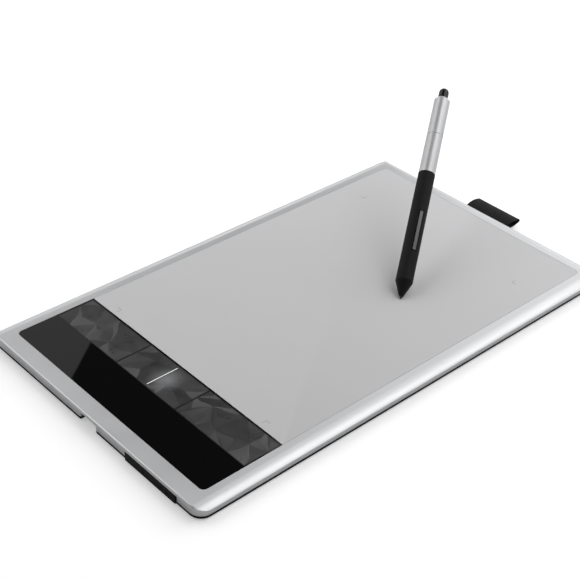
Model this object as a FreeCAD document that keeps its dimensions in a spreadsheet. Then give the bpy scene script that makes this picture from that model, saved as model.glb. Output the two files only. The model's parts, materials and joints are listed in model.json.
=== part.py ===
import FreeCAD, Part
import Sketcher
import math
import os

# Pen tablet with a pen standing on its drawing surface.
# X runs along the long side, Y across, Z up from the desk. The key side is at -X.
# Tablet sub-parts are drawn about the middle of the tablet and moved by their Placement,
# so that the origin is under the middle of the whole object, pen loop included.

VEC = FreeCAD.Vector

# Two places nearer than this are one place
SAME = 0.001

SIZES = [
    # tablet outline
    ("tablet_length", 351, "long side"),
    ("tablet_width", 208, "short side"),
    ("case_height", 8.5, "underside to drawing surface"),
    ("foot_standoff", 0.8, "underside above the desk"),
    ("corner_radius", 9, "plan corners"),
    ("edge_round", 1.1, "rounding of the upper edge"),
    ("fit_gap", 0.2, "gap between nested housings"),
    ("slide_gap", 0.15, "gap beside a moving key or cover"),
    # top cover
    ("plate_thickness", 1.8, "bezel plate"),
    ("roll_width", 7, "bezel that rolls over along the long sides"),
    ("roll_drop", 2.7, "fall of the bezel at the long sides"),
    ("roll_radius", 12.8, "arc of the falling bezel"),
    ("end_roll_width", 6, "bezel that rolls over at the loop side"),
    ("end_roll_drop", 2.8, "fall of the bezel at the loop side"),
    ("end_roll_radius", 7.9, "arc of the falling bezel at the loop side"),
    ("lip_drop", 1.6, "lip of the falling bezel below the bezel plate"),
    ("lip_width", 2, "level underside of that lip"),
    ("wall_setback", 0.8, "side wall behind the lip"),
    ("cover_wall", 1.6, "side wall thickness"),
    ("bezel_key_side", 12, "bezel at the key side"),
    ("bezel_far_side", 10.6, "bezel at the loop side"),
    ("bezel_long_side", 11.5, "bezel along the long sides"),
    ("panel_corner_radius", 3.5, "corners of the sheet and gloss panel"),
    ("groove_gap", 0.2, "fine groove round the inlaid panels"),
    # bottom case
    ("base_thickness", 1.8, "floor of the bottom case"),
    ("base_setback", 0.7, "floor edge behind the lip"),
    ("base_edge_round", 0.4, "rounding of the lower edge"),
    ("rim_thickness", 1.2, "locating rim"),
    ("rim_height", 3, "locating rim above the floor"),
    ("rib_thickness", 1.2, "ribs under the sensor"),
    ("rib_count_across", 4, "ribs across the case"),
    ("rib_count_along", 3, "ribs along the case"),
    # drawing sheet, gloss panel and keys
    ("inlay_thickness", 0.8, "drawing sheet and gloss panel"),
    ("gloss_width", 29, "gloss strip beside the keys"),
    ("key_band_width", 28.8, "key band with its frame"),
    ("key_frame_line", 0.8, "thin black frame round the keys"),
    ("rocker_length", 57.8, "centre key along Y"),
    ("key_thickness", 2.4, "key plate"),
    ("key_flange_height", 0.5, "flange under the cover's ledge"),
    ("key_flange_reach", 0.75, "flange beyond the key plate"),
    ("key_flange_drop", 0.1, "flange below the ledge"),
    ("key_flange_margin", 3, "flange short of the key's ends"),
    ("key_travel", 0.5, "press of an outer key"),
    ("key_post_radius", 1.6, "post over a dome switch"),
    ("dome_radius", 3, "dome switch"),
    ("dome_height", 0.6, "dome switch"),
    ("dome_gap", 0.05, "post above the dome beyond its travel"),
    ("rocker_dome_offset", 20, "rocker's domes from its axis"),
    ("light_bar_length", 23, "glowing line"),
    ("light_bar_width", 0.9, "glowing line"),
    ("led_size", 3, "status lamp"),
    ("led_height", 0.8, "status lamp"),
    # rocker pivot
    ("trunnion_radius", 0.7, "stub shaft of the rocker"),
    ("trunnion_clearance", 0.05, "radial clearance in the lug"),
    ("trunnion_rise", 1.9, "pivot axis above the key board"),
    ("ear_width", 1.8, "ear carrying the stub shaft"),
    ("lug_thickness", 1.6, "lug of the key frame"),
    ("lug_half_width", 2.5, "lug along Y"),
    # key frame and key board
    ("board_thickness", 1, "key board and main board"),
    ("key_board_rise", 1, "key board above the floor"),
    ("key_board_width", 31, "key board along X"),
    ("key_board_margin", 0.5, "key board short of the key band"),
    ("key_frame_width", 32.2, "carrier frame along X"),
    ("key_frame_height", 1.7, "carrier frame"),
    ("key_frame_window", 25.6, "opening of the carrier frame"),
    ("hold_post_width", 1.2, "posts that hold the frame down"),
    ("key_seat_length", 6, "seats under the key board"),
    # sensor
    ("sensor_gap", 3, "sensor clear of the screw bosses and keys"),
    ("sensor_thickness", 1.2, "sensor board"),
    ("shield_thickness", 0.3, "steel sheet under the sensor"),
    # main board
    ("main_board_width", 27, "main board along X"),
    ("main_board_length", 95, "main board along Y"),
    ("main_board_gap", 2.9, "main board clear of the bay liner"),
    ("main_board_rise", 0.4, "main board above the floor"),
    ("flat_cable_thickness", 0.25, "flat cables"),
    ("sensor_cable_width", 14, "flat cable to the sensor"),
    ("sensor_cable_offset", 60, "middle of the flat cable from the board's end"),
    ("key_cable_width", 12, "flat cable to the key board"),
    ("key_cable_offset", 33, "middle of the flat cable from the board's end"),
    # cable recess and socket
    ("recess_y_low", -8, "cable recess"),
    ("recess_y_high", 7.3, "cable recess"),
    ("recess_depth", 9, "cable recess from the lip"),
    ("recess_wall", 1.3, "walls round the cable recess"),
    ("recess_corner_radius", 1.3, "rounded mouth of the cable recess"),
    ("socket_width", 7.6, "cable socket"),
    ("socket_height", 3, "cable socket"),
    ("socket_depth", 8.4, "cable socket"),
    ("socket_shell_wall", 0.3, "folded steel shell"),
    ("tongue_width", 4.8, "contact tongue"),
    ("tongue_thickness", 0.8, "contact tongue"),
    ("tongue_inset", 1.6, "contact tongue behind the mouth"),
    # accessory bays
    ("bay_corner_inset", 20, "covers' end from the long side"),
    ("battery_cover_width", 26.9, "first blank cover"),
    ("radio_cover_width", 20.5, "second blank cover"),
    ("bay_depth", 32.7, "bays from the side plates"),
    ("bay_wall", 1.4, "walls of the bay liner"),
    ("bay_roof", 0.5, "roof of the bay liner"),
    ("bay_side_rail", 1.2, "rail beside a cover's tongue"),
    ("cover_plate_thickness", 1.8, "side plate of a blank cover"),
    ("cover_tongue_length", 23.4, "tongue of a blank cover"),
    ("cover_tongue_thickness", 1.2, "tongue of a blank cover"),
    ("cover_end_chamfer", 1, "bevelled ends of the covers"),
    ("mark_depth", 0.25, "marks let into the blank covers"),
    ("battery_mark_width", 1.1, "upright mark on the first cover"),
    ("battery_mark_height", 3.4, "upright mark on the first cover"),
    ("battery_mark_offset", 4.1, "mark from the first cover's middle"),
    ("radio_mark_width", 1.6, "short marks on the second cover"),
    ("radio_mark_height", 2.2, "short marks on the second cover"),
    ("radio_mark_pitch", 4.5, "short marks on the second cover"),
    ("bay_contact_width", 3, "battery contact"),
    ("bay_contact_pitch", 6, "battery contacts"),
    ("bay_contact_depth", 1.2, "battery contact"),
    ("radio_connector_width", 10, "radio connector"),
    ("radio_connector_depth", 3, "radio connector"),
    ("radio_connector_height", 2.2, "radio connector"),
    # pen loop
    ("loop_width", 38.6, "woven loop along Y"),
    ("loop_reach", 15.3, "loop beyond the lip"),
    ("loop_cloth", 0.7, "woven tape thickness"),
    ("loop_thickness", 4.8, "flattened loop"),
    ("loop_fold_radius", 1.1, "fold of the loop"),
    ("loop_mid_height", 5.2, "middle of the loop above the desk"),
    ("loop_slit_gap", 0.3, "slit round the tape"),
    ("loop_tail", 8.5, "tape inside the housing"),
    ("clamp_bar_width", 4.4, "bar that clamps the tape"),
    ("clamp_bar_height", 0.8, "bar that clamps the tape"),
    ("clamp_bar_end", 4.6, "bar beyond the tape"),
    # feet and screws
    ("foot_length", 28, "rubber foot"),
    ("foot_width", 9, "rubber foot"),
    ("foot_corner_radius", 4.3, "rubber foot"),
    ("foot_recess", 0.4, "foot let into the underside"),
    ("foot_inset_x", 30, "foot from the short side"),
    ("foot_inset_y", 15, "foot from the long side"),
    ("screw_inset_x", 9.5, "case screw from the short side"),
    ("screw_inset_y", 6.5, "case screw from the long side"),
    ("screw_radius", 0.95, "case screw shank"),
    ("screw_head_radius", 2.1, "case screw head"),
    ("screw_head_height", 1.2, "case screw head"),
    ("screw_well_radius", 2.5, "well in the underside"),
    ("screw_bite", 2.4, "screw in the cover's boss"),
    ("boss_radius", 2.5, "screw boss"),
    ("boss_gap", 0.1, "gap between the two bosses"),
    ("hole_clearance", 0.15, "radial clearance round a shank"),
    ("thread_clearance", 0.03, "radial clearance of a tapped hole"),
    ("small_screw_radius", 0.8, "board screw shank"),
    ("small_head_radius", 1.5, "board screw head"),
    ("small_head_height", 0.7, "board screw head"),
    ("small_screw_depth", 1.2, "board screw in the floor"),
    ("clamp_screw_depth", 2.4, "clamp screw in its post"),
    ("small_screw_inset", 3, "board screw from the board's corner"),
    # pen, along its own axis from the tip
    ("pen_length", 169.3, "tip to eraser"),
    ("pen_radius", 5.85, "grip"),
    ("pen_tip_x", 47.5, "nib on the drawing surface, from the middle"),
    ("pen_tip_y", -36.4, "nib on the drawing surface, from the middle"),
    ("pen_tip_lift", 0.05, "nib above the sheet"),
    ("pen_azimuth", 34.2, "direction of lean"),
    ("pen_elevation", 28.8, "pen above the sheet, degrees"),
    ("pen_roll", -154.9, "turn of the side switch, degrees"),
    ("nib_radius", 0.8, "nib"),
    ("nib_length", 27, "nib"),
    ("nib_travel", 0.3, "press of the nib"),
    ("cone_mouth", 1.9, "mouth of the cone from the tip"),
    ("cone_mouth_radius", 1.5, "mouth of the cone"),
    ("cone_end", 12.5, "shoulder of the cone from the tip"),
    ("cone_spigot", 5, "cone inside the front shell"),
    ("grip_wall", 1.1, "soft sleeve"),
    ("grip_end", 96.9, "end of the soft sleeve"),
    ("shell_wall", 0.9, "front shell"),
    ("spigot_length", 8, "front shell inside the barrel"),
    ("pen_gap", 0.05, "gap between nested pen parts"),
    ("barrel_radius", 5.8, "silver barrel at the grip"),
    ("seam_radius", 5.7, "silver barrel at the ring seam"),
    ("shoulder_radius", 5.65, "silver barrel at the end chamfer"),
    ("barrel_bore", 4.75, "silver barrel over the front shell"),
    ("barrel_spigot_radius", 4.55, "barrel inside the end sleeve"),
    ("barrel_spigot_length", 6, "barrel inside the end sleeve"),
    ("barrel_step", 1, "barrel bore beyond the front shell"),
    ("barrel_throat", 3.75, "narrow bore of the barrel"),
    ("seam_position", 128.5, "ring seam"),
    ("seam_gap", 0.25, "ring seam"),
    ("shoulder_position", 158.6, "start of the end chamfer"),
    ("barrel_end", 160.4, "end of the silver sleeve"),
    ("barrel_end_radius", 4, "end of the silver sleeve"),
    ("eraser_radius", 3.5, "eraser"),
    ("eraser_root", 156, "eraser inside the sleeve"),
    ("eraser_seat", 150, "bore for the eraser in the sleeve"),
    ("eraser_travel", 0.8, "press of the eraser"),
    ("eraser_gap", 0.1, "gap round the eraser"),
    ("plunger_radius", 1.5, "eraser plunger"),
    ("rear_sensor_length", 5, "eraser pressure sensor"),
    ("switch_position", 49.7, "middle of the side switch"),
    ("switch_length", 29.9, "side switch"),
    ("switch_width", 2.2, "side switch"),
    ("switch_rise", 0.35, "side switch above the grip"),
    ("switch_thickness", 2, "side switch bar"),
    ("switch_ear_half", 1.6, "side switch ear round its pin"),
    ("switch_post_half", 1, "side switch posts"),
    ("switch_swing", 2, "rock of the side switch, degrees"),
    ("switch_gap", 0.6, "gap round the side switch"),
    ("switch_pin_radius", 0.6, "side switch pin"),
    ("switch_pin_depth", 2.85, "side switch pin below the grip"),
    ("switch_pin_half", 3, "side switch pin, half its length"),
    ("pen_board_width", 5.6, "pen circuit board"),
    ("pen_board_thickness", 0.8, "pen circuit board"),
    ("pen_board_start", 36, "pen circuit board"),
    ("pen_board_end", 118, "pen circuit board"),
    ("pen_board_rise", 0.1, "pen circuit board above the axis"),
    ("pen_dome_radius", 1.4, "pen dome switch"),
    ("pen_dome_height", 0.5, "pen dome switch"),
    ("pen_dome_offset", 9, "dome switches from the pin"),
    ("chassis_end", 142, "pen chassis"),
    ("chassis_trough", 2.2, "hollow under the circuit board, half its width"),
    ("chassis_end_wall", 5, "solid ends of the chassis"),
    ("chassis_radius", 3.6, "pen chassis"),
    ("coil_length", 8, "coil"),
    ("core_radius", 2.2, "coil core"),
    ("winding_radius", 3.2, "coil winding"),
    ("sensor_radius", 3.4, "nib pressure sensor"),
    ("sensor_length", 5, "nib pressure sensor"),
]

# A screw head's cross recess, as shares of the head's radius
CROSS_LENGTH = 0.6
CROSS_WIDTH = 0.15

# Components on the main board: name, X and Y from the board's corner, length, width, height
CHIPS = [
    ("controller", 12, 63, 9, 9, 0.9),
    ("bridge", 13, 45, 6, 6, 0.9),
    ("memory", 3, 57, 5, 6, 0.8),
    ("crystal", 4, 67, 3.2, 2.5, 0.7),
    ("sensor_connector", 22, 53, 4, 14, 1.5),
    ("key_connector", 22, 27, 4, 12, 1.5),
    ("regulator", 14, 13, 4, 4, 1),
]


class Size:
    """A length that carries both its value and the expression that gives it."""

    def __init__(self, text, number):
        self.text = text
        self.number = number

    def __add__(self, other):
        return join(self, "+", other, self.number + number(other))

    def __radd__(self, other):
        return join(other, "+", self, number(other) + self.number)

    def __sub__(self, other):
        return join(self, "-", other, self.number - number(other))

    def __rsub__(self, other):
        return join(other, "-", self, number(other) - self.number)

    def __mul__(self, other):
        return join(self, "*", other, self.number * number(other))

    def __rmul__(self, other):
        return join(other, "*", self, number(other) * self.number)

    def __truediv__(self, other):
        return join(self, "/", other, self.number / number(other))

    def __neg__(self):
        return join(0, "-", self, -self.number)


def number(value):
    return value.number if isinstance(value, Size) else value


def text(value):
    return value.text if isinstance(value, Size) else repr(value)


def join(left, sign, right, result):
    return Size("(" + text(left) + " " + sign + " " + text(right) + ")", result)


def bind(item, path, value):
    item.setExpression(path, text(value))


doc = FreeCAD.newDocument("pen_tablet")
sheet = doc.addObject("Spreadsheet::Sheet", "Sizes")
for row, (alias, value, note) in enumerate(SIZES, start=1):
    sheet.set("A%d" % row, alias)
    sheet.set("B%d" % row, str(value))
    sheet.set("C%d" % row, note)
    sheet.setAlias("B%d" % row, alias)
doc.recompute()


class Sheet:
    """Every named size, as a Size."""


S = Sheet()
for alias, value, note in SIZES:
    setattr(S, alias, Size("Sizes." + alias, value))

parts = []
cuts = []


def place_on_tablet(item, x=0):
    """Moves a tablet sub-part so that the origin is under the whole object's middle."""
    bind(item, "Placement.Base.x", x - S.loop_reach / 2)
    parts.append(item)


def place_on_pen(item):
    """Lays a pen sub-part, drawn along Z from the tip, on the pen's leaning axis."""
    lean = FreeCAD.Rotation(VEC(0, 0, 1), number(S.pen_azimuth))
    tilt = FreeCAD.Rotation(VEC(0, 1, 0), 90 - number(S.pen_elevation))
    roll = FreeCAD.Rotation(VEC(0, 0, 1), number(S.pen_roll))
    item.Placement = FreeCAD.Placement(VEC(), lean.multiply(tilt).multiply(roll))
    bind(item, "Placement.Base.x", S.pen_tip_x - S.loop_reach / 2)
    bind(item, "Placement.Base.y", S.pen_tip_y)
    bind(item, "Placement.Base.z", top_z + pen_tip_rise())
    parts.append(item)


def pen_tip_rise():
    """Height of the nib's rounded end above the sheet that its side leans on."""
    return S.pen_tip_lift + S.nib_radius * (1 - math.sin(math.radians(number(S.pen_elevation))))


# Sketches and features inside a body


def new_body(label):
    body = doc.addObject("PartDesign::Body", label)
    body.Label = label
    return body


def origin_plane(body, role):
    return next(item for item in body.Origin.OriginFeatures if item.Role == role)


def new_sketch(body, name, role, x, y, z):
    sketch = body.newObject("Sketcher::SketchObject", name)
    sketch.AttachmentSupport = (origin_plane(body, role), [""])
    sketch.MapMode = "FlatFace"
    bind(sketch, ".AttachmentOffset.Base.x", x)
    bind(sketch, ".AttachmentOffset.Base.y", y)
    bind(sketch, ".AttachmentOffset.Base.z", z)
    return sketch


def constrain(sketch, kind, *where, value):
    index = sketch.addConstraint(Sketcher.Constraint(kind, *where, number(value)))
    bind(sketch, "Constraints[%d]" % index, value)


def draw_rectangle(sketch, length, width):
    a = number(length) / 2
    b = number(width) / 2
    first = sketch.GeometryCount
    corners = [VEC(-a, -b), VEC(a, -b), VEC(a, b), VEC(-a, b)]
    for i in range(4):
        sketch.addGeometry(Part.LineSegment(corners[i], corners[(i + 1) % 4]), False)
    rules = [Sketcher.Constraint("Coincident", first + i, 2, first + (i + 1) % 4, 1) for i in range(4)]
    rules += [Sketcher.Constraint("Horizontal", first + i) for i in (0, 2)]
    rules += [Sketcher.Constraint("Vertical", first + i) for i in (1, 3)]
    rules.append(Sketcher.Constraint("Symmetric", first, 1, first + 2, 1, -1, 1))
    sketch.addConstraint(rules)
    constrain(sketch, "DistanceX", first, 1, first, 2, value=length)
    constrain(sketch, "DistanceY", first + 1, 1, first + 1, 2, value=width)


def draw_rounded_rectangle(sketch, length, width, radius):
    a = number(length) / 2
    b = number(width) / 2
    r = number(radius)
    first = sketch.GeometryCount
    ends = [
        (VEC(r - a, -b), VEC(a - r, -b)),
        (VEC(a, r - b), VEC(a, b - r)),
        (VEC(a - r, b), VEC(r - a, b)),
        (VEC(-a, b - r), VEC(-a, r - b)),
    ]
    for start, end in ends:
        sketch.addGeometry(Part.LineSegment(start, end), False)
    centres = [VEC(a - r, r - b), VEC(a - r, b - r), VEC(r - a, b - r), VEC(r - a, r - b)]
    for i, centre in enumerate(centres):
        circle = Part.Circle(centre, VEC(0, 0, 1), r)
        start = math.radians(90 * i - 90)
        sketch.addGeometry(Part.ArcOfCircle(circle, start, start + math.pi / 2), False)
    rules = []
    for i in range(4):
        rules.append(Sketcher.Constraint("Tangent", first + i, 2, first + 4 + i, 1))
        rules.append(Sketcher.Constraint("Tangent", first + 4 + i, 2, first + (i + 1) % 4, 1))
    rules += [Sketcher.Constraint("Horizontal", first + i) for i in (0, 2)]
    rules += [Sketcher.Constraint("Vertical", first + i) for i in (1, 3)]
    rules += [Sketcher.Constraint("Equal", first + 4, first + i) for i in (5, 6, 7)]
    rules.append(Sketcher.Constraint("Symmetric", first + 4, 3, first + 6, 3, -1, 1))
    sketch.addConstraint(rules)
    constrain(sketch, "Radius", first + 4, value=radius)
    constrain(sketch, "DistanceX", first + 3, 1, first + 1, 1, value=length)
    constrain(sketch, "DistanceY", first, 1, first + 2, 1, value=width)


def draw_block(body, name, box, at_z, radius):
    x0, x1, y0, y1 = box
    sketch = new_sketch(body, name + "_outline", "XY_Plane", (x0 + x1) / 2, (y0 + y1) / 2, at_z)
    if radius is None:
        draw_rectangle(sketch, x1 - x0, y1 - y0)
    else:
        draw_rounded_rectangle(sketch, x1 - x0, y1 - y0, radius)
    return sketch


def pad_block(body, name, box, z0, z1, radius=None):
    """Adds a block standing on z0 and reaching z1, with round plan corners if radius is given."""
    return pad_up(body, name, draw_block(body, name, box, z0, radius), z1 - z0)


def pad_blocks(body, name, boxes, z0, z1):
    return pad_up(body, name, draw_rectangles(body, name, boxes, z0), z1 - z0)


def draw_rectangles(body, name, boxes, at_z):
    """One sketch with several rectangles that don't meet."""
    sketch = new_sketch(body, name + "_outline", "XY_Plane", 0, 0, at_z)
    for x0, x1, y0, y1 in boxes:
        first = sketch.GeometryCount
        corners = [(x0, y0), (x1, y0), (x1, y1), (x0, y1)]
        points = [VEC(number(x), number(y)) for x, y in corners]
        for i in range(4):
            sketch.addGeometry(Part.LineSegment(points[i], points[(i + 1) % 4]), False)
        rules = [Sketcher.Constraint("Coincident", first + i, 2, first + (i + 1) % 4, 1) for i in range(4)]
        rules += [Sketcher.Constraint("Horizontal", first + i) for i in (0, 2)]
        rules += [Sketcher.Constraint("Vertical", first + i) for i in (1, 3)]
        sketch.addConstraint(rules)
        for corner in (0, 2):
            x, y = corners[corner]
            constrain(sketch, "DistanceX", -1, 1, first + corner, 1, value=x)
            constrain(sketch, "DistanceY", -1, 1, first + corner, 1, value=y)
    return sketch


def draw_discs(body, name, centres, at_z, radius):
    """One sketch with several circles of one radius."""
    sketch = new_sketch(body, name + "_outline", "XY_Plane", 0, 0, at_z)
    for i, (x, y) in enumerate(centres):
        centre = VEC(number(x), number(y))
        sketch.addGeometry(Part.Circle(centre, VEC(0, 0, 1), number(radius)), False)
        constrain(sketch, "DistanceX", -1, 1, i, 3, value=x)
        constrain(sketch, "DistanceY", -1, 1, i, 3, value=y)
        if i > 0:
            sketch.addConstraint(Sketcher.Constraint("Equal", 0, i))
    constrain(sketch, "Radius", 0, value=radius)
    return sketch


def pad_up(body, name, sketch, height):
    pad = body.newObject("PartDesign::Pad", name)
    pad.Profile = sketch
    bind(pad, "Length", height)
    return pad


def cut_down(body, name, sketch, depth):
    pocket = body.newObject("PartDesign::Pocket", name)
    pocket.Profile = sketch
    bind(pocket, "Length", depth)
    cuts.append((body, pocket))
    return pocket


def cut_block(body, name, box, z0, z1, radius=None):
    """Cuts the same kind of block away, from z1 down to z0."""
    return cut_down(body, name, draw_block(body, name, box, z1, radius), z1 - z0)


def draw_circle(body, name, role, across, along, start, radius):
    """One circle on a plane of the body."""
    sketch = new_sketch(body, name + "_outline", role, across, along, start)
    sketch.addGeometry(Part.Circle(VEC(), VEC(0, 0, 1), number(radius)), False)
    sketch.addConstraint(Sketcher.Constraint("Coincident", 0, 3, -1, 1))
    constrain(sketch, "Radius", 0, value=radius)
    return sketch


def pad_disc(body, name, x, y, radius, z0, z1):
    return pad_up(body, name, draw_circle(body, name, "XY_Plane", x, y, z0, radius), z1 - z0)


def pad_discs(body, name, centres, radius, z0, z1):
    return pad_up(body, name, draw_discs(body, name, centres, z0, radius), z1 - z0)


def cut_discs(body, name, centres, radius, z0, z1):
    return cut_down(body, name, draw_discs(body, name, centres, z1, radius), z1 - z0)


def pad_ring(body, name, half_x, half_y, radius, wall, z0, z1):
    """Adds an upright wall whose outer face is half_x and half_y from the middle."""
    sketch = new_sketch(body, name + "_outline", "XY_Plane", 0, 0, z0)
    draw_rounded_rectangle(sketch, 2 * half_x, 2 * half_y, radius)
    draw_rounded_rectangle(sketch, 2 * (half_x - wall), 2 * (half_y - wall), radius - wall)
    return pad_up(body, name, sketch, z1 - z0)


def edges_of(feature, wanted):
    """Names of the edges of a feature whose middle point passes the test."""
    feature.recompute(True)
    names = []
    for index, edge in enumerate(feature.Shape.Edges, start=1):
        middle = edge.valueAt((edge.FirstParameter + edge.LastParameter) / 2)
        box = edge.BoundBox
        if wanted(middle, box):
            names.append("Edge%d" % index)
    return names


def round_edges(body, name, feature, radius, wanted):
    fillet = body.newObject("PartDesign::Fillet", name)
    fillet.Base = (feature, edges_of(feature, wanted))
    bind(fillet, "Radius", radius)
    return fillet


def bevel_edges(body, name, feature, size, wanted):
    chamfer = body.newObject("PartDesign::Chamfer", name)
    chamfer.Base = (feature, edges_of(feature, wanted))
    bind(chamfer, "Size", size)
    return chamfer


def draw_outline(body, name, role, start, outline):
    """Straight lines through points on a plane of the body, none of them on its axes."""
    sketch = new_sketch(body, name + "_outline", role, 0, 0, start)
    count = len(outline)
    points = [VEC(number(across), number(along)) for across, along in outline]
    for i in range(count):
        sketch.addGeometry(Part.LineSegment(points[i], points[(i + 1) % count]), False)
    for i in range(count):
        sketch.addConstraint(Sketcher.Constraint("Coincident", i, 2, (i + 1) % count, 1))
    for i, (across, along) in enumerate(outline):
        constrain(sketch, "DistanceX", -1, 1, i, 1, value=across)
        constrain(sketch, "DistanceY", -1, 1, i, 1, value=along)
    return sketch


def turn(body, name, outline):
    """Turns an outline of (radius, height) points about the body's Z axis."""
    turned = body.newObject("PartDesign::Revolution", name)
    sketch = draw_outline(body, name, "XZ_Plane", 0, outline)
    turned.Profile = sketch
    turned.ReferenceAxis = (sketch, ["V_Axis"])
    turned.Angle = 360


# Plain solids for boards, chips and fasteners


def block(label, box, z0, z1):
    x0, x1, y0, y1 = box
    item = doc.addObject("Part::Box", label)
    item.Label = label
    bind(item, "Length", x1 - x0)
    bind(item, "Width", y1 - y0)
    bind(item, "Height", z1 - z0)
    bind(item, "Placement.Base.x", x0)
    bind(item, "Placement.Base.y", y0)
    bind(item, "Placement.Base.z", z0)
    return item


def disc(label, x, y, radius, z0, z1):
    item = doc.addObject("Part::Cylinder", label)
    item.Label = label
    bind(item, "Radius", radius)
    bind(item, "Height", z1 - z0)
    bind(item, "Placement.Base.x", x)
    bind(item, "Placement.Base.y", y)
    bind(item, "Placement.Base.z", z0)
    return item


def tube(label, outer, inner, z0, z1):
    whole = disc(label + "_outside", 0, 0, outer, z0, z1)
    bore = disc(label + "_bore", 0, 0, inner, z0, z1)
    return without(label, whole, bore)


def fused(label, pieces):
    item = doc.addObject("Part::MultiFuse", label)
    item.Label = label
    item.Shapes = pieces
    return item


def without(label, base, tool):
    item = doc.addObject("Part::Cut", label)
    item.Label = label
    item.Base = base
    item.Tool = tool
    return item


def group(label, pieces):
    item = doc.addObject("Part::Compound", label)
    item.Label = label
    item.Links = pieces
    return item


# Levels and lines that several sub-parts share

underside_z = S.foot_standoff
top_z = S.foot_standoff + S.case_height
plate_z = top_z - S.plate_thickness
lip_z = plate_z - S.lip_drop
floor_z = underside_z + S.base_thickness
half_length = S.tablet_length / 2
half_width = S.tablet_width / 2
wall_inset = S.wall_setback + S.cover_wall
rim_inset = wall_inset + S.fit_gap
gloss_x = S.bezel_key_side - half_length
band_x = gloss_x + S.gloss_width
sheet_x = band_x + S.key_band_width
sheet_end_x = half_length - S.bezel_far_side
panel_half_y = half_width - S.bezel_long_side
key_x0 = band_x + S.key_frame_line
key_x1 = sheet_x - S.key_frame_line
key_mid_x = (key_x0 + key_x1) / 2
key_half_y = panel_half_y - S.key_frame_line
key_z = top_z - S.key_thickness
inlay_z = top_z - S.inlay_thickness
key_board_z = floor_z + S.key_board_rise
key_board_top = key_board_z + S.board_thickness
key_frame_top = key_board_top + S.key_frame_height
dome_top = key_board_top + S.dome_height
post_z = dome_top + S.key_travel + S.dome_gap
trunnion_z = key_board_top + S.trunnion_rise
outer_dome_y = (S.rocker_length / 2 + key_half_y) / 2
shield_z = plate_z - S.sensor_thickness - S.shield_thickness
main_board_z = floor_z + S.main_board_rise
main_board_top = main_board_z + S.board_thickness
recess_x = S.recess_depth - half_length
recess_wall_x = recess_x + S.recess_wall
main_board_x0 = recess_wall_x + S.fit_gap
main_board_x1 = main_board_x0 + S.main_board_width
socket_y = (S.recess_y_low + S.recess_y_high) / 2
bay_end_y = S.bay_corner_inset - half_width
bay_split_y = bay_end_y + S.radio_cover_width
bay_start_y = bay_split_y + S.battery_cover_width
main_board_y0 = bay_start_y + S.bay_wall / 2 + S.main_board_gap
main_board_y1 = main_board_y0 + S.main_board_length
cover_inner_x = S.cover_plate_thickness - half_length
liner_x0 = rim_inset + S.rim_thickness - half_length
liner_x1 = cover_inner_x + S.bay_depth
bay_back_x = liner_x1 - S.bay_wall
tongue_x1 = cover_inner_x + S.cover_tongue_length
tongue_top = underside_z + S.cover_tongue_thickness
bay_roof_z = plate_z - S.boss_gap - S.bay_roof
tape_z0 = S.loop_mid_height - S.loop_cloth
tape_z1 = S.loop_mid_height + S.loop_cloth
tape_x0 = half_length - S.loop_tail
clamp_x0 = tape_x0
clamp_x1 = tape_x0 + S.clamp_bar_width
clamp_half_y = S.loop_width / 2 + S.clamp_bar_end
clamp_screw_y = S.loop_width / 2 + S.clamp_bar_end / 2
clamp_screw_centres = [((clamp_x0 + clamp_x1) / 2, side * clamp_screw_y) for side in (-1, 1)]
sensor_x0 = key_mid_x + S.key_frame_width / 2 + S.sensor_gap
sensor_x1 = tape_x0 - S.sensor_gap
sensor_half_y = half_width - S.screw_inset_y - S.boss_radius - S.sensor_gap
case_screw_x = [side * (half_length - S.screw_inset_x) / share for side in (-1, 1) for share in (1, 3)]
case_screw_y = [side * (half_width - S.screw_inset_y) for side in (-1, 1)]
case_screw_centres = [(x, y) for x in case_screw_x for y in case_screw_y]
screw_head_z = underside_z + S.foot_recess / 2
screw_seat_z = screw_head_z + S.screw_head_height
boss_meet_z = (floor_z + plate_z) / 2


def accessory_bays():
    """The two accessory bays: name, upper and lower Y of the cover."""
    return [
        ("battery", bay_start_y, bay_split_y),
        ("radio", bay_split_y, bay_end_y),
    ]


# Top cover


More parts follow.
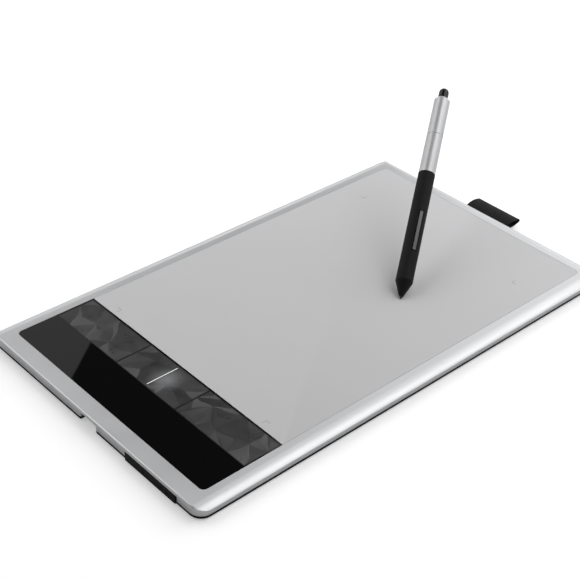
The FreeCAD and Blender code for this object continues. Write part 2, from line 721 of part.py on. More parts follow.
def make_top_cover():
    body = new_body("top_cover")
    outline = (-half_length, half_length, -half_width, half_width)
    plate = pad_block(body, "plate", outline, lip_z, top_z, S.corner_radius)
    round_edges(body, "upper_edge", plate, S.edge_round, lambda point, box: on_level(box, top_z))
    lip_inner_x = half_length - S.lip_width
    lip_inner_y = half_width - S.lip_width
    ramp_y = half_width - S.roll_width
    underside = [(-lip_inner_y, lip_z), (-ramp_y, plate_z), (ramp_y, plate_z), (lip_inner_y, lip_z)]
    below = draw_outline(body, "underside", "YZ_Plane", lip_inner_x, underside)
    cut_down(body, "underside", below, S.tablet_length - S.lip_width)
    pad_ring(
        body,
        "side_wall",
        half_length - S.wall_setback,
        half_width - S.wall_setback,
        S.corner_radius - S.wall_setback,
        S.cover_wall,
        floor_z,
        plate_z,
    )
    long_roll = (half_width, S.roll_width, S.roll_drop, S.roll_radius)
    for name, side in (("roll_low", -1), ("roll_high", 1)):
        above = draw_roll(body, name, "YZ_Plane", half_length, side, long_roll)
        cut_down(body, name, above, S.tablet_length)
    end_roll = (half_length, S.end_roll_width, S.end_roll_drop, S.end_roll_radius)
    above = draw_roll(body, "roll_end", "XZ_Plane", half_width, 1, end_roll)
    cut_down(body, "roll_end", above, S.tablet_width)
    inlay = (gloss_x, sheet_end_x, -panel_half_y, panel_half_y)
    cut_block(body, "inlay_recess", inlay, inlay_z, top_z, S.panel_corner_radius)
    key_window = (key_x0, key_x1, -key_half_y, key_half_y)
    cut_block(body, "key_window", key_window, plate_z, top_z)
    wall_face_x = S.wall_setback - half_length
    wall_inner_x = rim_inset - half_length
    mouth = draw_mouth(body, "recess_gap", wall_face_x, wall_inner_x, plate_z)
    cut_down(body, "recess_gap", mouth, plate_z - floor_z)
    cut_block(body, "bay_gap", (-half_length, wall_inner_x, bay_end_y, bay_start_y), floor_z, plate_z)
    slit_half = S.loop_width / 2 + S.loop_slit_gap
    slit = (half_length - rim_inset, half_length, -slit_half, slit_half)
    cut_block(body, "loop_slit", slit, tape_z0 - S.loop_slit_gap, tape_z1 + S.loop_slit_gap)
    boss_z = boss_meet_z + S.boss_gap
    pad_discs(body, "bosses", case_screw_centres, S.boss_radius, boss_z, plate_z)
    hole = S.screw_radius + S.thread_clearance
    cut_discs(body, "boss_holes", case_screw_centres, hole, boss_z, boss_z + S.screw_bite)
    post_x = key_mid_x - S.key_frame_width / 2
    posts = []
    for y in (-key_half_y, key_half_y - S.hold_post_width):
        posts.append((post_x, post_x + S.hold_post_width, y, y + S.hold_post_width))
    pad_blocks(body, "hold_posts", posts, key_frame_top, plate_z)
    place_on_tablet(body)


def on_level(box, level):
    return abs(box.ZMin - number(level)) < SAME and abs(box.ZMax - number(level)) < SAME


def draw_roll(body, name, role, start, side, roll):
    """Outline above the arc by which the bezel falls at one edge of the tablet.

    The sketch lies on a plane of the body, the edge on its side -1 or 1, and roll gives the edge's
    distance from the middle, and the arc's width, drop and radius.
    """
    edge, width, drop, arc_radius = roll
    start_y = edge - width
    low_z = top_z - drop
    beyond_y = edge + width
    beyond_z = top_z + drop
    sketch = new_sketch(body, name + "_outline", role, 0, 0, start)
    corners = [
        (start_y, top_z),
        (start_y, beyond_z),
        (beyond_y, beyond_z),
        (beyond_y, low_z),
        (edge, low_z),
    ]
    points = [VEC(side * number(y), number(z)) for y, z in corners]
    chord = points[4] - points[0]
    half_chord = chord.Length / 2
    radius = number(arc_radius)
    sagitta = radius - math.sqrt(radius * radius - half_chord * half_chord)
    outwards = VEC(side * abs(chord.y), abs(chord.x)).normalize()
    crown = (points[0] + points[4]) / 2 + outwards * sagitta
    sketch.addGeometry(Part.Arc(points[0], crown, points[4]), False)
    for i in range(4):
        sketch.addGeometry(Part.LineSegment(points[i], points[i + 1]), False)
    # an arc in a sketch starts at its clockwise end
    arc_top, arc_low = (2, 1) if side > 0 else (1, 2)
    rules = [Sketcher.Constraint("Coincident", 0, arc_top, 1, 1)]
    rules += [Sketcher.Constraint("Coincident", i, 2, i + 1, 1) for i in (1, 2, 3)]
    rules.append(Sketcher.Constraint("Coincident", 4, 2, 0, arc_low))
    rules += [Sketcher.Constraint("Vertical", i) for i in (1, 3)]
    rules += [Sketcher.Constraint("Horizontal", i) for i in (2, 4)]
    sketch.addConstraint(rules)
    constrain(sketch, "Radius", 0, value=arc_radius)
    constrain(sketch, "DistanceX", -1, 1, 0, arc_top, value=side * start_y)
    constrain(sketch, "DistanceY", -1, 1, 0, arc_top, value=top_z)
    constrain(sketch, "DistanceX", -1, 1, 0, arc_low, value=side * edge)
    constrain(sketch, "DistanceY", -1, 1, 0, arc_low, value=low_z)
    constrain(sketch, "DistanceX", -1, 1, 3, 1, value=side * beyond_y)
    constrain(sketch, "DistanceY", -1, 1, 2, 1, value=beyond_z)
    return sketch


def draw_mouth(body, name, face_x, end_x, at_z):
    """Plan of the cable recess from the wall's face inwards, its outer corners rounded."""
    radius = S.recess_corner_radius
    low = S.recess_y_low
    high = S.recess_y_high
    outline = [
        (face_x + radius, low),
        (end_x, low),
        (end_x, high),
        (face_x + radius, high),
        (face_x, high + radius),
        (-half_length, high + radius),
        (-half_length, low - radius),
        (face_x, low - radius),
    ]
    points = [VEC(number(x), number(y)) for x, y in outline]
    sketch = new_sketch(body, name + "_outline", "XY_Plane", 0, 0, at_z)
    quarter = math.pi / 2
    arcs = {3: 2 * quarter, 7: quarter}
    centres = {3: VEC(points[3].x, points[4].y), 7: VEC(points[0].x, points[7].y)}
    for i in range(8):
        if i in arcs:
            circle = Part.Circle(centres[i], VEC(0, 0, 1), number(radius))
            sketch.addGeometry(Part.ArcOfCircle(circle, arcs[i], arcs[i] + quarter), False)
        else:
            sketch.addGeometry(Part.LineSegment(points[i], points[(i + 1) % 8]), False)
    for i in range(8):
        after = (i + 1) % 8
        leaving = 1 if i in arcs else 2
        arriving = 2 if after in arcs else 1
        sketch.addConstraint(Sketcher.Constraint("Coincident", i, leaving, after, arriving))
    for i, centre_y in ((3, high + radius), (7, low - radius)):
        constrain(sketch, "Radius", i, value=radius)
        constrain(sketch, "DistanceX", -1, 1, i, 3, value=face_x + radius)
        constrain(sketch, "DistanceY", -1, 1, i, 3, value=centre_y)
    for i in (1, 2, 5, 6):
        constrain(sketch, "DistanceX", -1, 1, i, 1, value=outline[i][0])
        constrain(sketch, "DistanceY", -1, 1, i, 1, value=outline[i][1])
    constrain(sketch, "DistanceX", -1, 1, 0, 1, value=face_x + radius)
    constrain(sketch, "DistanceX", -1, 1, 2, 2, value=face_x + radius)
    constrain(sketch, "DistanceY", -1, 1, 4, 1, value=high + radius)
    constrain(sketch, "DistanceY", -1, 1, 6, 2, value=low - radius)
    return sketch


# Bottom case


def make_bottom_case():
    body = new_body("bottom_case")
    inset_x = half_length - S.base_setback
    inset_y = half_width - S.base_setback
    floor_box = (-inset_x, inset_x, -inset_y, inset_y)
    floor = pad_block(body, "floor", floor_box, underside_z, floor_z, S.corner_radius - S.base_setback)
    round_edges(
        body, "lower_edge", floor, S.base_edge_round, lambda point, box: on_level(box, underside_z)
    )
    pad_ring(
        body,
        "rim",
        half_length - rim_inset,
        half_width - rim_inset,
        S.corner_radius - rim_inset,
        S.rim_thickness,
        floor_z,
        floor_z + S.rim_height,
    )
    add_foot_seats(body)
    add_cable_recess(body)
    add_bay_slots(body)
    add_screw_bosses(body)
    add_seats(body)
    add_loop_seat(body)
    add_ribs(body)
    place_on_tablet(body)


def add_ribs(body):
    """Ribs that carry the steel sheet under the sensor."""
    length = sensor_x1 - sensor_x0
    half = S.rib_thickness / 2
    across = int(number(S.rib_count_across))
    along = int(number(S.rib_count_along))
    boxes = []
    for i in range(across):
        x = sensor_x0 + length * (i + 0.5) / across
        boxes.append((x - half, x + half, -sensor_half_y, sensor_half_y))
    pad_blocks(body, "ribs_across", boxes, floor_z, shield_z)
    boxes = []
    for i in range(along):
        y = sensor_half_y * ((2 * i + 1) / along - 1)
        boxes.append((sensor_x0, sensor_x1, y - half, y + half))
    pad_blocks(body, "ribs_along", boxes, floor_z, shield_z)


def add_screw_bosses(body):
    """Bosses with a well for each case screw's head, seen from below."""
    pad_discs(body, "bosses", case_screw_centres, S.boss_radius, floor_z, boss_meet_z)
    hole = S.screw_radius + S.hole_clearance
    cut_discs(body, "boss_holes", case_screw_centres, hole, underside_z, boss_meet_z)
    cut_discs(body, "boss_wells", case_screw_centres, S.screw_well_radius, underside_z, screw_seat_z)


def add_cable_recess(body):
    """The open recess for the cable, walled off from the inside, with the socket's window."""
    outer_x = rim_inset - half_length
    walls = (
        outer_x,
        recess_wall_x,
        S.recess_y_low - S.recess_wall,
        S.recess_y_high + S.recess_wall,
    )
    pad_block(body, "recess_walls", walls, floor_z, plate_z - S.fit_gap)
    mouth = draw_mouth(body, "recess_space", S.base_setback - half_length, recess_x, plate_z)
    cut_down(body, "recess_space", mouth, plate_z - underside_z)
    half = S.socket_width / 2 + S.fit_gap / 2
    window = (recess_x - S.fit_gap, recess_wall_x + S.fit_gap, socket_y - half, socket_y + half)
    window_z1 = main_board_top + S.socket_height + S.fit_gap / 2
    cut_block(body, "socket_window", window, main_board_top - S.fit_gap / 2, window_z1)


def add_bay_slots(body):
    """Slots in the floor for the covers' tongues, and the gap in the rim behind them."""
    gap = (-half_length, cover_inner_x + S.slide_gap, bay_end_y, bay_start_y)
    cut_block(body, "bay_side_gap", gap, underside_z, floor_z)
    rim = (-half_length, rim_inset + S.rim_thickness + S.fit_gap - half_length, bay_end_y, bay_start_y)
    cut_block(body, "bay_rim_gap", rim, floor_z, floor_z + S.rim_height)
    rail = S.bay_side_rail / 2
    slots = []
    for name, y_high, y_low in accessory_bays():
        slots.append((cover_inner_x, tongue_x1 + S.slide_gap, y_low + rail, y_high - rail))
    cut_down(body, "bay_slots", draw_rectangles(body, "bay_slots", slots, floor_z), S.base_thickness)


def add_foot_seats(body):
    gap = S.fit_gap / 2
    for i, (x, y) in enumerate(foot_centres(), start=1):
        seat = foot_box(x, y, gap)
        radius = S.foot_corner_radius + gap
        cut_block(body, "foot_seat_%d" % i, seat, underside_z, underside_z + S.foot_recess, radius)


def add_seats(body):
    """Seats for the main board and the key board."""
    pad_discs(body, "board_seats", main_screw_centres(), S.boss_radius, floor_z, main_board_z)
    hole = S.small_screw_radius + S.thread_clearance
    hole_z = main_board_z - S.small_screw_depth
    cut_discs(body, "board_holes", main_screw_centres(), hole, hole_z, main_board_z)
    seats = []
    for y in (-key_half_y, -S.key_seat_length / 2, key_half_y - S.key_seat_length):
        for x in (key_x0, key_x1 - S.hold_post_width):
            seats.append((x, x + S.hold_post_width, y, y + S.key_seat_length))
    pad_blocks(body, "key_seats", seats, floor_z, key_board_z)


def add_loop_seat(body):
    """Seat under the tape's tail, with a screw post at each end and the slit in the rim."""
    seat = (clamp_x0, clamp_x1, -clamp_half_y, clamp_half_y)
    pad_block(body, "loop_seat", seat, floor_z, tape_z0)
    tape_half = S.loop_width / 2 + S.loop_slit_gap
    posts = [
        (clamp_x0, clamp_x1, -clamp_half_y, -tape_half),
        (clamp_x0, clamp_x1, tape_half, clamp_half_y),
    ]
    pad_blocks(body, "loop_posts", posts, tape_z0, tape_z1)
    hole = S.small_screw_radius + S.thread_clearance
    hole_z = tape_z1 - S.clamp_screw_depth
    cut_discs(body, "loop_post_holes", clamp_screw_centres, hole, hole_z, tape_z1)
    slit = (half_length - rim_inset - S.rim_thickness, half_length - rim_inset, -tape_half, tape_half)
    cut_block(body, "rim_slit", slit, tape_z0 - S.loop_slit_gap, floor_z + S.rim_height)


def foot_centres():
    x = half_length - S.foot_inset_x
    y = half_width - S.foot_inset_y
    return [(-x, -y), (x, -y), (x, y), (-x, y)]


def foot_box(x, y, gap):
    half_x = S.foot_length / 2 + gap
    half_y = S.foot_width / 2 + gap
    return (x - half_x, x + half_x, y - half_y, y + half_y)


def main_screw_centres():
    x0 = main_board_x0 + S.small_screw_inset
    x1 = main_board_x1 - S.small_screw_inset
    y0 = main_board_y0 + S.small_screw_inset
    y1 = main_board_y1 - S.small_screw_inset
    return [(x0, y0), (x1, y0), (x1, y1), (x0, y1)]


def make_feet():
    for i, (x, y) in enumerate(foot_centres(), start=1):
        body = new_body("rubber_foot_%d" % i)
        foot_z1 = underside_z + S.foot_recess
        pad_block(body, "pad", foot_box(x, y, 0), 0, foot_z1, S.foot_corner_radius)
        place_on_tablet(body)


# Inlaid panels and keys


def pad_inlay(body):
    """The shape that the drawing sheet and the gloss panel share between them."""
    gap = S.groove_gap
    inlay = (gloss_x + gap, sheet_end_x - gap, gap - panel_half_y, panel_half_y - gap)
    pad_block(body, "inlay", inlay, inlay_z, top_z, S.panel_corner_radius - gap)


def make_drawing_surface():
    body = new_body("drawing_surface")
    pad_inlay(body)
    beyond = (-half_length, sheet_x + S.groove_gap, -half_width, half_width)
    cut_block(body, "key_side", beyond, inlay_z, top_z)
    place_on_tablet(body)


def make_gloss_panel():
    body = new_body("gloss_panel")
    pad_inlay(body)
    beyond = (sheet_x - S.groove_gap, half_length, -half_width, half_width)
    cut_block(body, "sheet_side", beyond, inlay_z, top_z)
    window = (key_x0, key_x1, -key_half_y, key_half_y)
    cut_block(body, "key_window", window, inlay_z, top_z)
    place_on_tablet(body)


def make_outer_key(label, y_low, y_high):
    body = new_body(label)
    gap = S.slide_gap
    pad_block(body, "plate", (key_x0 + gap, key_x1 - gap, y_low + gap, y_high - gap), key_z, top_z)
    reach = S.key_flange_reach
    margin = S.key_flange_margin
    flange_top = plate_z - S.key_flange_drop
    flange = (key_x0 - reach, key_x1 + reach, y_low + margin, y_high - margin)
    pad_block(body, "flange", flange, flange_top - S.key_flange_height, flange_top)
    middle = (y_low + y_high) / 2
    pad_disc(body, "post", key_mid_x, middle, S.key_post_radius, post_z, key_z)
    place_on_tablet(body)


def pad_stub(body, name, radius, x0, x1, z):
    """Adds a round stub shaft along X."""
    return pad_up(body, name, draw_circle(body, name, "YZ_Plane", 0, z, x0, radius), x1 - x0)


def cut_bore(body, name, role, radius, across, along, start, length):
    """Cuts a round bore from a plane of the body, towards the side that the plane faces away from."""
    return cut_down(body, name, draw_circle(body, name, role, across, along, start, radius), length)


def make_middle_key():
    body = new_body("middle_rocker_key")
    gap = S.slide_gap
    half = S.rocker_length / 2 - gap
    ear_x0 = key_x0 + gap
    ear_x1 = key_x1 - gap
    pad_block(body, "plate", (ear_x0, ear_x1, -half, half), key_z, top_z)
    cut_block(body, "light_slot", light_bar_box(), key_z, top_z)
    posts = [(key_mid_x, side * S.rocker_dome_offset) for side in (-1, 1)]
    pad_discs(body, "posts", posts, S.key_post_radius, post_z, key_z)
    ear_z = trunnion_z - S.trunnion_radius
    half_ear = S.ear_width / 2
    ears = [
        (ear_x0, ear_x0 + S.ear_width, -half_ear, half_ear),
        (ear_x1 - S.ear_width, ear_x1, -half_ear, half_ear),
    ]
    pad_blocks(body, "ears", ears, ear_z, key_z)
    pad_stub(body, "trunnion_0", S.trunnion_radius, ear_x0 - S.lug_thickness, ear_x0, trunnion_z)
    pad_stub(body, "trunnion_1", S.trunnion_radius, ear_x1, ear_x1 + S.lug_thickness, trunnion_z)
    place_on_tablet(body)


def light_bar_box():
    half_x = S.light_bar_length / 2
    half_y = S.light_bar_width / 2
    return (key_mid_x - half_x, key_mid_x + half_x, -half_y, half_y)


def make_light_bar():
    box = light_bar_box()
    place_on_tablet(block("light_bar", box, key_z, top_z), box[0])


def make_key_frame():
    """Frame under the keys, with a lug at each end of the rocker's axis."""
    body = new_body("key_frame")
    half = S.key_frame_width / 2
    outer_y = key_half_y + S.hold_post_width
    outline = (key_mid_x - half, key_mid_x + half, -outer_y, outer_y)
    pad_block(body, "frame", outline, key_board_top, key_frame_top)
    half_window = S.key_frame_window / 2
    window_y = key_half_y - S.key_frame_line
    window = (key_mid_x - half_window, key_mid_x + half_window, -window_y, window_y)
    cut_block(body, "window", window, key_board_top, key_frame_top)
    ear_x0 = key_x0 + S.slide_gap - S.groove_gap
    ear_x1 = key_x1 - S.slide_gap + S.groove_gap
    half_notch = S.ear_width / 2 + S.fit_gap
    notch = (ear_x0, ear_x1, -half_notch, half_notch)
    cut_block(body, "ear_notch", notch, key_board_top, key_frame_top)
    lug = S.lug_half_width
    lug_z = plate_z - S.boss_gap
    lugs = [(key_mid_x - half, ear_x0, -lug, lug), (ear_x1, key_mid_x + half, -lug, lug)]
    pad_blocks(body, "lugs", lugs, key_board_top, lug_z)
    bore = S.trunnion_radius + S.trunnion_clearance
    cut_bore(body, "bearing", "YZ_Plane", bore, 0, trunnion_z, key_mid_x + half, 2 * half)
    place_on_tablet(body)


def key_board_box():
    half = S.key_board_width / 2
    half_y = key_half_y - S.key_board_margin
    return (key_mid_x - half, key_mid_x + half, -half_y, half_y)


def make_key_board():
    box = key_board_box()
    place_on_tablet(block("key_board", box, key_board_z, key_board_top), box[0])


def make_key_domes():
    offset = S.rocker_dome_offset
    domes = []
    for i, y in enumerate((-outer_dome_y, -offset, offset, outer_dome_y)):
        name = "key_dome_%d" % i
        domes.append(disc(name, key_mid_x, y, S.dome_radius, key_board_top, dome_top))
    place_on_tablet(group("key_switch_domes", domes))


def make_status_led():
    half = S.led_size / 2
    box = (key_mid_x - half, key_mid_x + half, -half, half)
    led = block("status_led", box, key_board_top, key_board_top + S.led_height)
    place_on_tablet(led, box[0])


# Sensor and main board


def make_sensor():
    box = (sensor_x0, sensor_x1, -sensor_half_y, sensor_half_y)
    board_z = shield_z + S.shield_thickness
    place_on_tablet(block("sensor_board", box, board_z, plate_z), box[0])
    place_on_tablet(block("sensor_shield", box, shield_z, board_z), box[0])


def make_main_board():
    box = (main_board_x0, main_board_x1, main_board_y0, main_board_y1)
    board = block("main_board_blank", box, main_board_z, main_board_top)
    radius = S.small_screw_radius + S.hole_clearance
    holes = []
    for i, (x, y) in enumerate(main_screw_centres()):
        holes.append(disc("main_board_hole_%d" % i, x, y, radius, main_board_z, main_board_top))
    place_on_tablet(without("main_board", board, fused("main_board_holes", holes)))


def make_chips():
    """Controller, memory, crystal, regulator and cable connectors on the main board."""
    chips = []
    for name, offset_x, offset_y, length, width, height in CHIPS:
        x = main_board_x0 + offset_x
        y = main_board_y0 + offset_y
        box = (x, x + length, y, y + width)
        chips.append(block("chip_" + name, box, main_board_top, main_board_top + height))
    place_on_tablet(group("main_board_chips", chips))


def make_flat_cables():
    thickness = S.flat_cable_thickness
    y0 = main_board_y0 + S.sensor_cable_offset - S.sensor_cable_width / 2
    y1 = y0 + S.sensor_cable_width
    run_box = (main_board_x1, sensor_x0, y0, y1)
    run = block("sensor_cable_run", run_box, main_board_z, main_board_z + thickness)
    rise_box = (sensor_x0 - thickness, sensor_x0, y0, y1)
    rise = block("sensor_cable_rise", rise_box, main_board_z, plate_z - S.sensor_thickness / 2)
    place_on_tablet(fused("sensor_cable", [run, rise]))
    y0 = main_board_y0 + S.key_cable_offset - S.key_cable_width / 2
    box = (main_board_x1, key_board_box()[0], y0, y0 + S.key_cable_width)
    cable = block("key_board_cable", box, key_board_z, key_board_z + thickness)
    place_on_tablet(cable, box[0])


def make_socket():
    """Folded steel shell open at its mouth, with a contact tongue inside."""
    body = new_body("usb_socket_shell")
    half = S.socket_width / 2
    x1 = recess_x + S.socket_depth
    z1 = main_board_top + S.socket_height
    pad_block(body, "shell", (recess_x, x1, socket_y - half, socket_y + half), main_board_top, z1)
    wall = S.socket_shell_wall
    mouth = (recess_x, x1 - wall, socket_y - half + wall, socket_y + half - wall)
    cut_block(body, "mouth", mouth, main_board_top + wall, z1 - wall)
    place_on_tablet(body)
    half_tongue = S.tongue_width / 2
    box = (recess_x + S.tongue_inset, x1 - wall, socket_y - half_tongue, socket_y + half_tongue)
    middle = main_board_top + S.socket_height / 2
    rise = S.tongue_thickness / 2
    place_on_tablet(block("usb_socket_tongue", box, middle - rise, middle + rise), box[0])


# Accessory bays


def make_bay_liner():
    """Roof and walls of the two accessory bays, open at the side and below."""
    body = new_body("bay_liner")
    half_wall = S.bay_wall / 2
    outline = (liner_x0, liner_x1, bay_end_y - half_wall, bay_start_y + half_wall)
    pad_block(body, "shell", outline, floor_z, bay_roof_z + S.bay_roof)
    for name, y_high, y_low in accessory_bays():
        rail = S.bay_side_rail / 2
        space = (liner_x0, bay_back_x, y_low + rail, y_high - rail)
        cut_block(body, name + "_bay", space, floor_z, bay_roof_z)
    place_on_tablet(body)


def bevel_corner(body, plate, x, y):
    """Bevels the upright edge of a cover's plate at one place."""

    def at_corner(point, box):
        return abs(point.x - number(x)) < SAME and abs(point.y - number(y)) < SAME

    bevel_edges(body, "end_bevel", plate, S.cover_end_chamfer, at_corner)


def make_bay_covers():
    for name, y_high, y_low in accessory_bays():
        body = new_body(name + "_bay_cover")
        gap = S.slide_gap
        plate_box = (-half_length, cover_inner_x, y_low + gap / 2, y_high - gap / 2)
        plate = pad_block(body, "side_plate", plate_box, underside_z, plate_z - gap)
        end_y = y_high - gap / 2 if name == "battery" else y_low + gap / 2
        bevel_corner(body, plate, -half_length, end_y)
        rail = S.bay_side_rail / 2 + gap
        tongue = (cover_inner_x, tongue_x1, y_low + rail, y_high - rail)
        pad_block(body, "tongue", tongue, underside_z, tongue_top)
        cut_marks(body, name, (y_high + y_low) / 2)
        place_on_tablet(body)


def cut_marks(body, name, middle):
    """Lets the small upright marks into a cover's outer face."""
    if name == "battery":
        places = [middle - S.battery_mark_offset]
        width = S.battery_mark_width
        height = S.battery_mark_height
    else:
        places = [middle + side * S.radio_mark_pitch / 2 for side in (-1, 1)]
        width = S.radio_mark_width
        height = S.radio_mark_height
    middle_z = (underside_z + plate_z) / 2
    for i, y in enumerate(places):
        mark = "mark_%d" % i
        sketch = new_sketch(body, mark + "_outline", "YZ_Plane", y, middle_z, S.mark_depth - half_length)
        draw_rectangle(sketch, width, height)
        cut_down(body, mark, sketch, S.mark_depth)


def make_bay_contacts():
    name, y_high, y_low = accessory_bays()[0]
    middle = (y_high + y_low) / 2
    contacts = []
    for i in (-1, 0, 1):
        y = middle + i * S.bay_contact_pitch - S.bay_contact_width / 2
        box = (bay_back_x - S.bay_contact_depth, bay_back_x, y, y + S.bay_contact_width)
        label = "battery_contact_%d" % (i + 1)
        contacts.append(block(label, box, floor_z, floor_z + S.bay_contact_width))
    place_on_tablet(group("battery_contacts", contacts))
    name, y_high, y_low = accessory_bays()[1]
    middle = (y_high + y_low) / 2
    half = S.radio_connector_width / 2
    box = (bay_back_x - S.radio_connector_depth, bay_back_x, middle - half, middle + half)
    connector = block("radio_connector", box, floor_z, floor_z + S.radio_connector_height)
    place_on_tablet(connector, box[0])


# Pen loop


def make_pen_loop():
    """Woven tape folded back on itself: two leaves and a round fold, open at both ends."""
    low = number(tape_z0)
    high = number(tape_z1)
    middle = number(S.loop_mid_height)
    cloth = number(S.loop_cloth)
    bulge = number(S.loop_thickness) / 2
    fold = number(S.loop_fold_radius)
    tail_x = number(tape_x0)
    leaf_x = number(half_length)
    reach_x = leaf_x + number(S.loop_reach)
    fold_x = reach_x - fold
    crown_x = (leaf_x + fold_x) / 2
    inner_x = leaf_x + 2 * cloth

    def at(x, z):
        return VEC(x, 0, z)

    outside = [
        Part.LineSegment(at(tail_x, high), at(leaf_x, high)),
        Part.Arc(at(leaf_x, high), at(crown_x, middle + bulge), at(fold_x, middle + fold)),
        Part.Arc(at(fold_x, middle + fold), at(reach_x, middle), at(fold_x, middle - fold)),
        Part.Arc(at(fold_x, middle - fold), at(crown_x, middle - bulge), at(leaf_x, low)),
        Part.LineSegment(at(leaf_x, low), at(tail_x, low)),
        Part.LineSegment(at(tail_x, low), at(tail_x, high)),
    ]
    hollow = bulge - cloth
    inner_fold = fold - cloth
    inner_top = at(fold_x, middle + inner_fold)
    inner_bottom = at(fold_x, middle - inner_fold)
    inside = [
        Part.Arc(at(inner_x, middle), at(crown_x, middle + hollow), inner_top),
        Part.Arc(inner_top, at(reach_x - cloth, middle), inner_bottom),
        Part.Arc(inner_bottom, at(crown_x, middle - hollow), at(inner_x, middle)),
    ]
    faces = [Part.Face(Part.Wire([edge.toShape() for edge in edges])) for edges in (outside, inside)]
    profile = faces[0].cut(faces[1])
    width = number(S.loop_width)
    profile.translate(VEC(0, -width / 2, 0))
    loop = doc.addObject("Part::Feature", "pen_loop")
    loop.Label = "pen_loop"
    loop.Shape = profile.Faces[0].extrude(VEC(0, width, 0))
    place_on_tablet(loop)


def make_loop_clamp():
    blank_box = (clamp_x0, clamp_x1, -clamp_half_y, clamp_half_y)
    blank = block("clamp_bar_blank", blank_box, tape_z1, tape_z1 + S.clamp_bar_height)
    radius = S.small_screw_radius + S.hole_clearance
    holes = []
    for i, (x, y) in enumerate(clamp_screw_centres):
        name = "clamp_hole_%d" % i
        holes.append(disc(name, x, y, radius, tape_z1, tape_z1 + S.clamp_bar_height))
    place_on_tablet(without("loop_clamp_bar", blank, fused("clamp_holes", holes)))


# Fasteners


def screw(label, x, y, shank, head, tip_z, head_z0, head_z1):
    """A pan head screw with a cross recess. The head may face up or down."""
    up = number(head_z1) > number(tip_z)
    seat = head_z0 if up else head_z1
    body = disc(label + "_shank", x, y, shank, tip_z if up else seat, seat if up else tip_z)
    cap = disc(label + "_head", x, y, head, head_z0, head_z1)
    long_half = head * CROSS_LENGTH
    short_half = head * CROSS_WIDTH
    depth = (head_z1 - head_z0) / 2
    slot_z0 = head_z1 - depth if up else head_z0
    slot_z1 = head_z1 if up else head_z0 + depth
    slot_x = (x - long_half, x + long_half, y - short_half, y + short_half)
    slot_y = (x - short_half, x + short_half, y - long_half, y + long_half)
    slots = [
        block(label + "_slot_x", slot_x, slot_z0, slot_z1),
        block(label + "_slot_y", slot_y, slot_z0, slot_z1),
    ]
    whole = fused(label + "_whole", [body, cap])
    return without(label, whole, fused(label + "_cross", slots))


def make_screws():
    screws = []
    tip_z = boss_meet_z + S.screw_bite
    for i, (x, y) in enumerate(case_screw_centres):
        name = "case_screw_%d" % i
        screws.append(
            screw(name, x, y, S.screw_radius, S.screw_head_radius, tip_z, screw_head_z, screw_seat_z)
        )
    place_on_tablet(group("case_screws", screws))
    screws = []
    head_top = main_board_top + S.small_head_height
    tip_z = main_board_z - S.small_screw_depth + S.boss_gap
    for i, (x, y) in enumerate(main_screw_centres()):
        name = "board_screw_%d" % i
        screws.append(
            screw(name, x, y, S.small_screw_radius, S.small_head_radius, tip_z, main_board_top, head_top)
        )
    place_on_tablet(group("board_screws", screws))
    screws = []
    seat = tape_z1 + S.clamp_bar_height
    head_top = seat + S.small_head_height
    tip_z = tape_z1 - S.clamp_screw_depth + S.boss_gap
    for i, (x, y) in enumerate(clamp_screw_centres):
        name = "clamp_screw_%d" % i
        screws.append(screw(name, x, y, S.small_screw_radius, S.small_head_radius, tip_z, seat, head_top))
    place_on_tablet(group("loop_clamp_screws", screws))


# Pen, drawn along Z from the tip, side switch towards +X

shell_outer = S.pen_radius - S.grip_wall - S.pen_gap
shell_inner = shell_outer - S.shell_wall
shell_end = S.grip_end + S.spigot_length
nib_bore = S.nib_radius + 2 * S.pen_gap
coil_z = S.cone_end + S.cone_spigot + S.pen_gap
nib_sensor_z = S.nib_length + S.nib_travel + 2 * S.pen_gap
chassis_z = nib_sensor_z + S.sensor_length
pen_board_top = S.pen_board_rise + S.pen_board_thickness
switch_low = S.switch_position - S.switch_length / 2
switch_high = S.switch_position + S.switch_length / 2
switch_top = S.pen_radius + S.switch_rise
switch_pin_x = S.pen_radius - S.switch_pin_depth
window_root = shell_inner / 2
plunger_start = S.chassis_end + S.rear_sensor_length + S.eraser_travel + 2 * S.pen_gap


def round_ended_rod(label, radius, z0, z1, tip_z):
    """A rod with a half ball at one end, its middle at tip_z."""
    ball = doc.addObject("Part::Sphere", label + "_ball")
    bind(ball, "Radius", radius)
    bind(ball, "Placement.Base.z", tip_z)
    return fused(label, [disc(label + "_rod", 0, 0, radius, z0, z1), ball])


def make_nib():
    place_on_pen(round_ended_rod("pen_nib", S.nib_radius, S.nib_radius, S.nib_length, S.nib_radius))


def make_tip_cone():
    body = new_body("pen_tip_cone")
    spigot = shell_inner - S.pen_gap
    spigot_end = S.cone_end + S.cone_spigot
    turn(
        body,
        "cone",
        [
            (nib_bore, S.cone_mouth),
            (S.cone_mouth_radius, S.cone_mouth),
            (S.pen_radius, S.cone_end),
            (spigot, S.cone_end),
            (spigot, spigot_end),
            (nib_bore, spigot_end),
        ],
    )
    place_on_pen(body)


def cut_switch_window(body):
    half = S.switch_width / 2 + S.switch_gap
    window = (window_root, S.pen_radius + S.pen_gap, -half, half)
    cut_block(body, "switch_window", window, switch_low - S.switch_gap, switch_high + S.switch_gap)


def make_front_shell():
    body = new_body("pen_front_shell")
    start = S.cone_end + S.pen_gap
    turn(
        body,
        "tube",
        [(shell_inner, start), (shell_outer, start), (shell_outer, shell_end), (shell_inner, shell_end)],
    )
    cut_switch_window(body)
    cut_bore(
        body,
        "pin_hole",
        "XZ_Plane",
        S.switch_pin_radius,
        switch_pin_x,
        S.switch_position,
        S.pen_radius,
        2 * S.pen_radius,
    )
    place_on_pen(body)


def make_grip():
    body = new_body("pen_grip")
    start = S.cone_end + S.pen_gap
    inner = S.pen_radius - S.grip_wall
    turn(
        body,
        "sleeve",
        [(inner, start), (S.pen_radius, start), (S.pen_radius, S.grip_end), (inner, S.grip_end)],
    )
    cut_switch_window(body)
    place_on_pen(body)


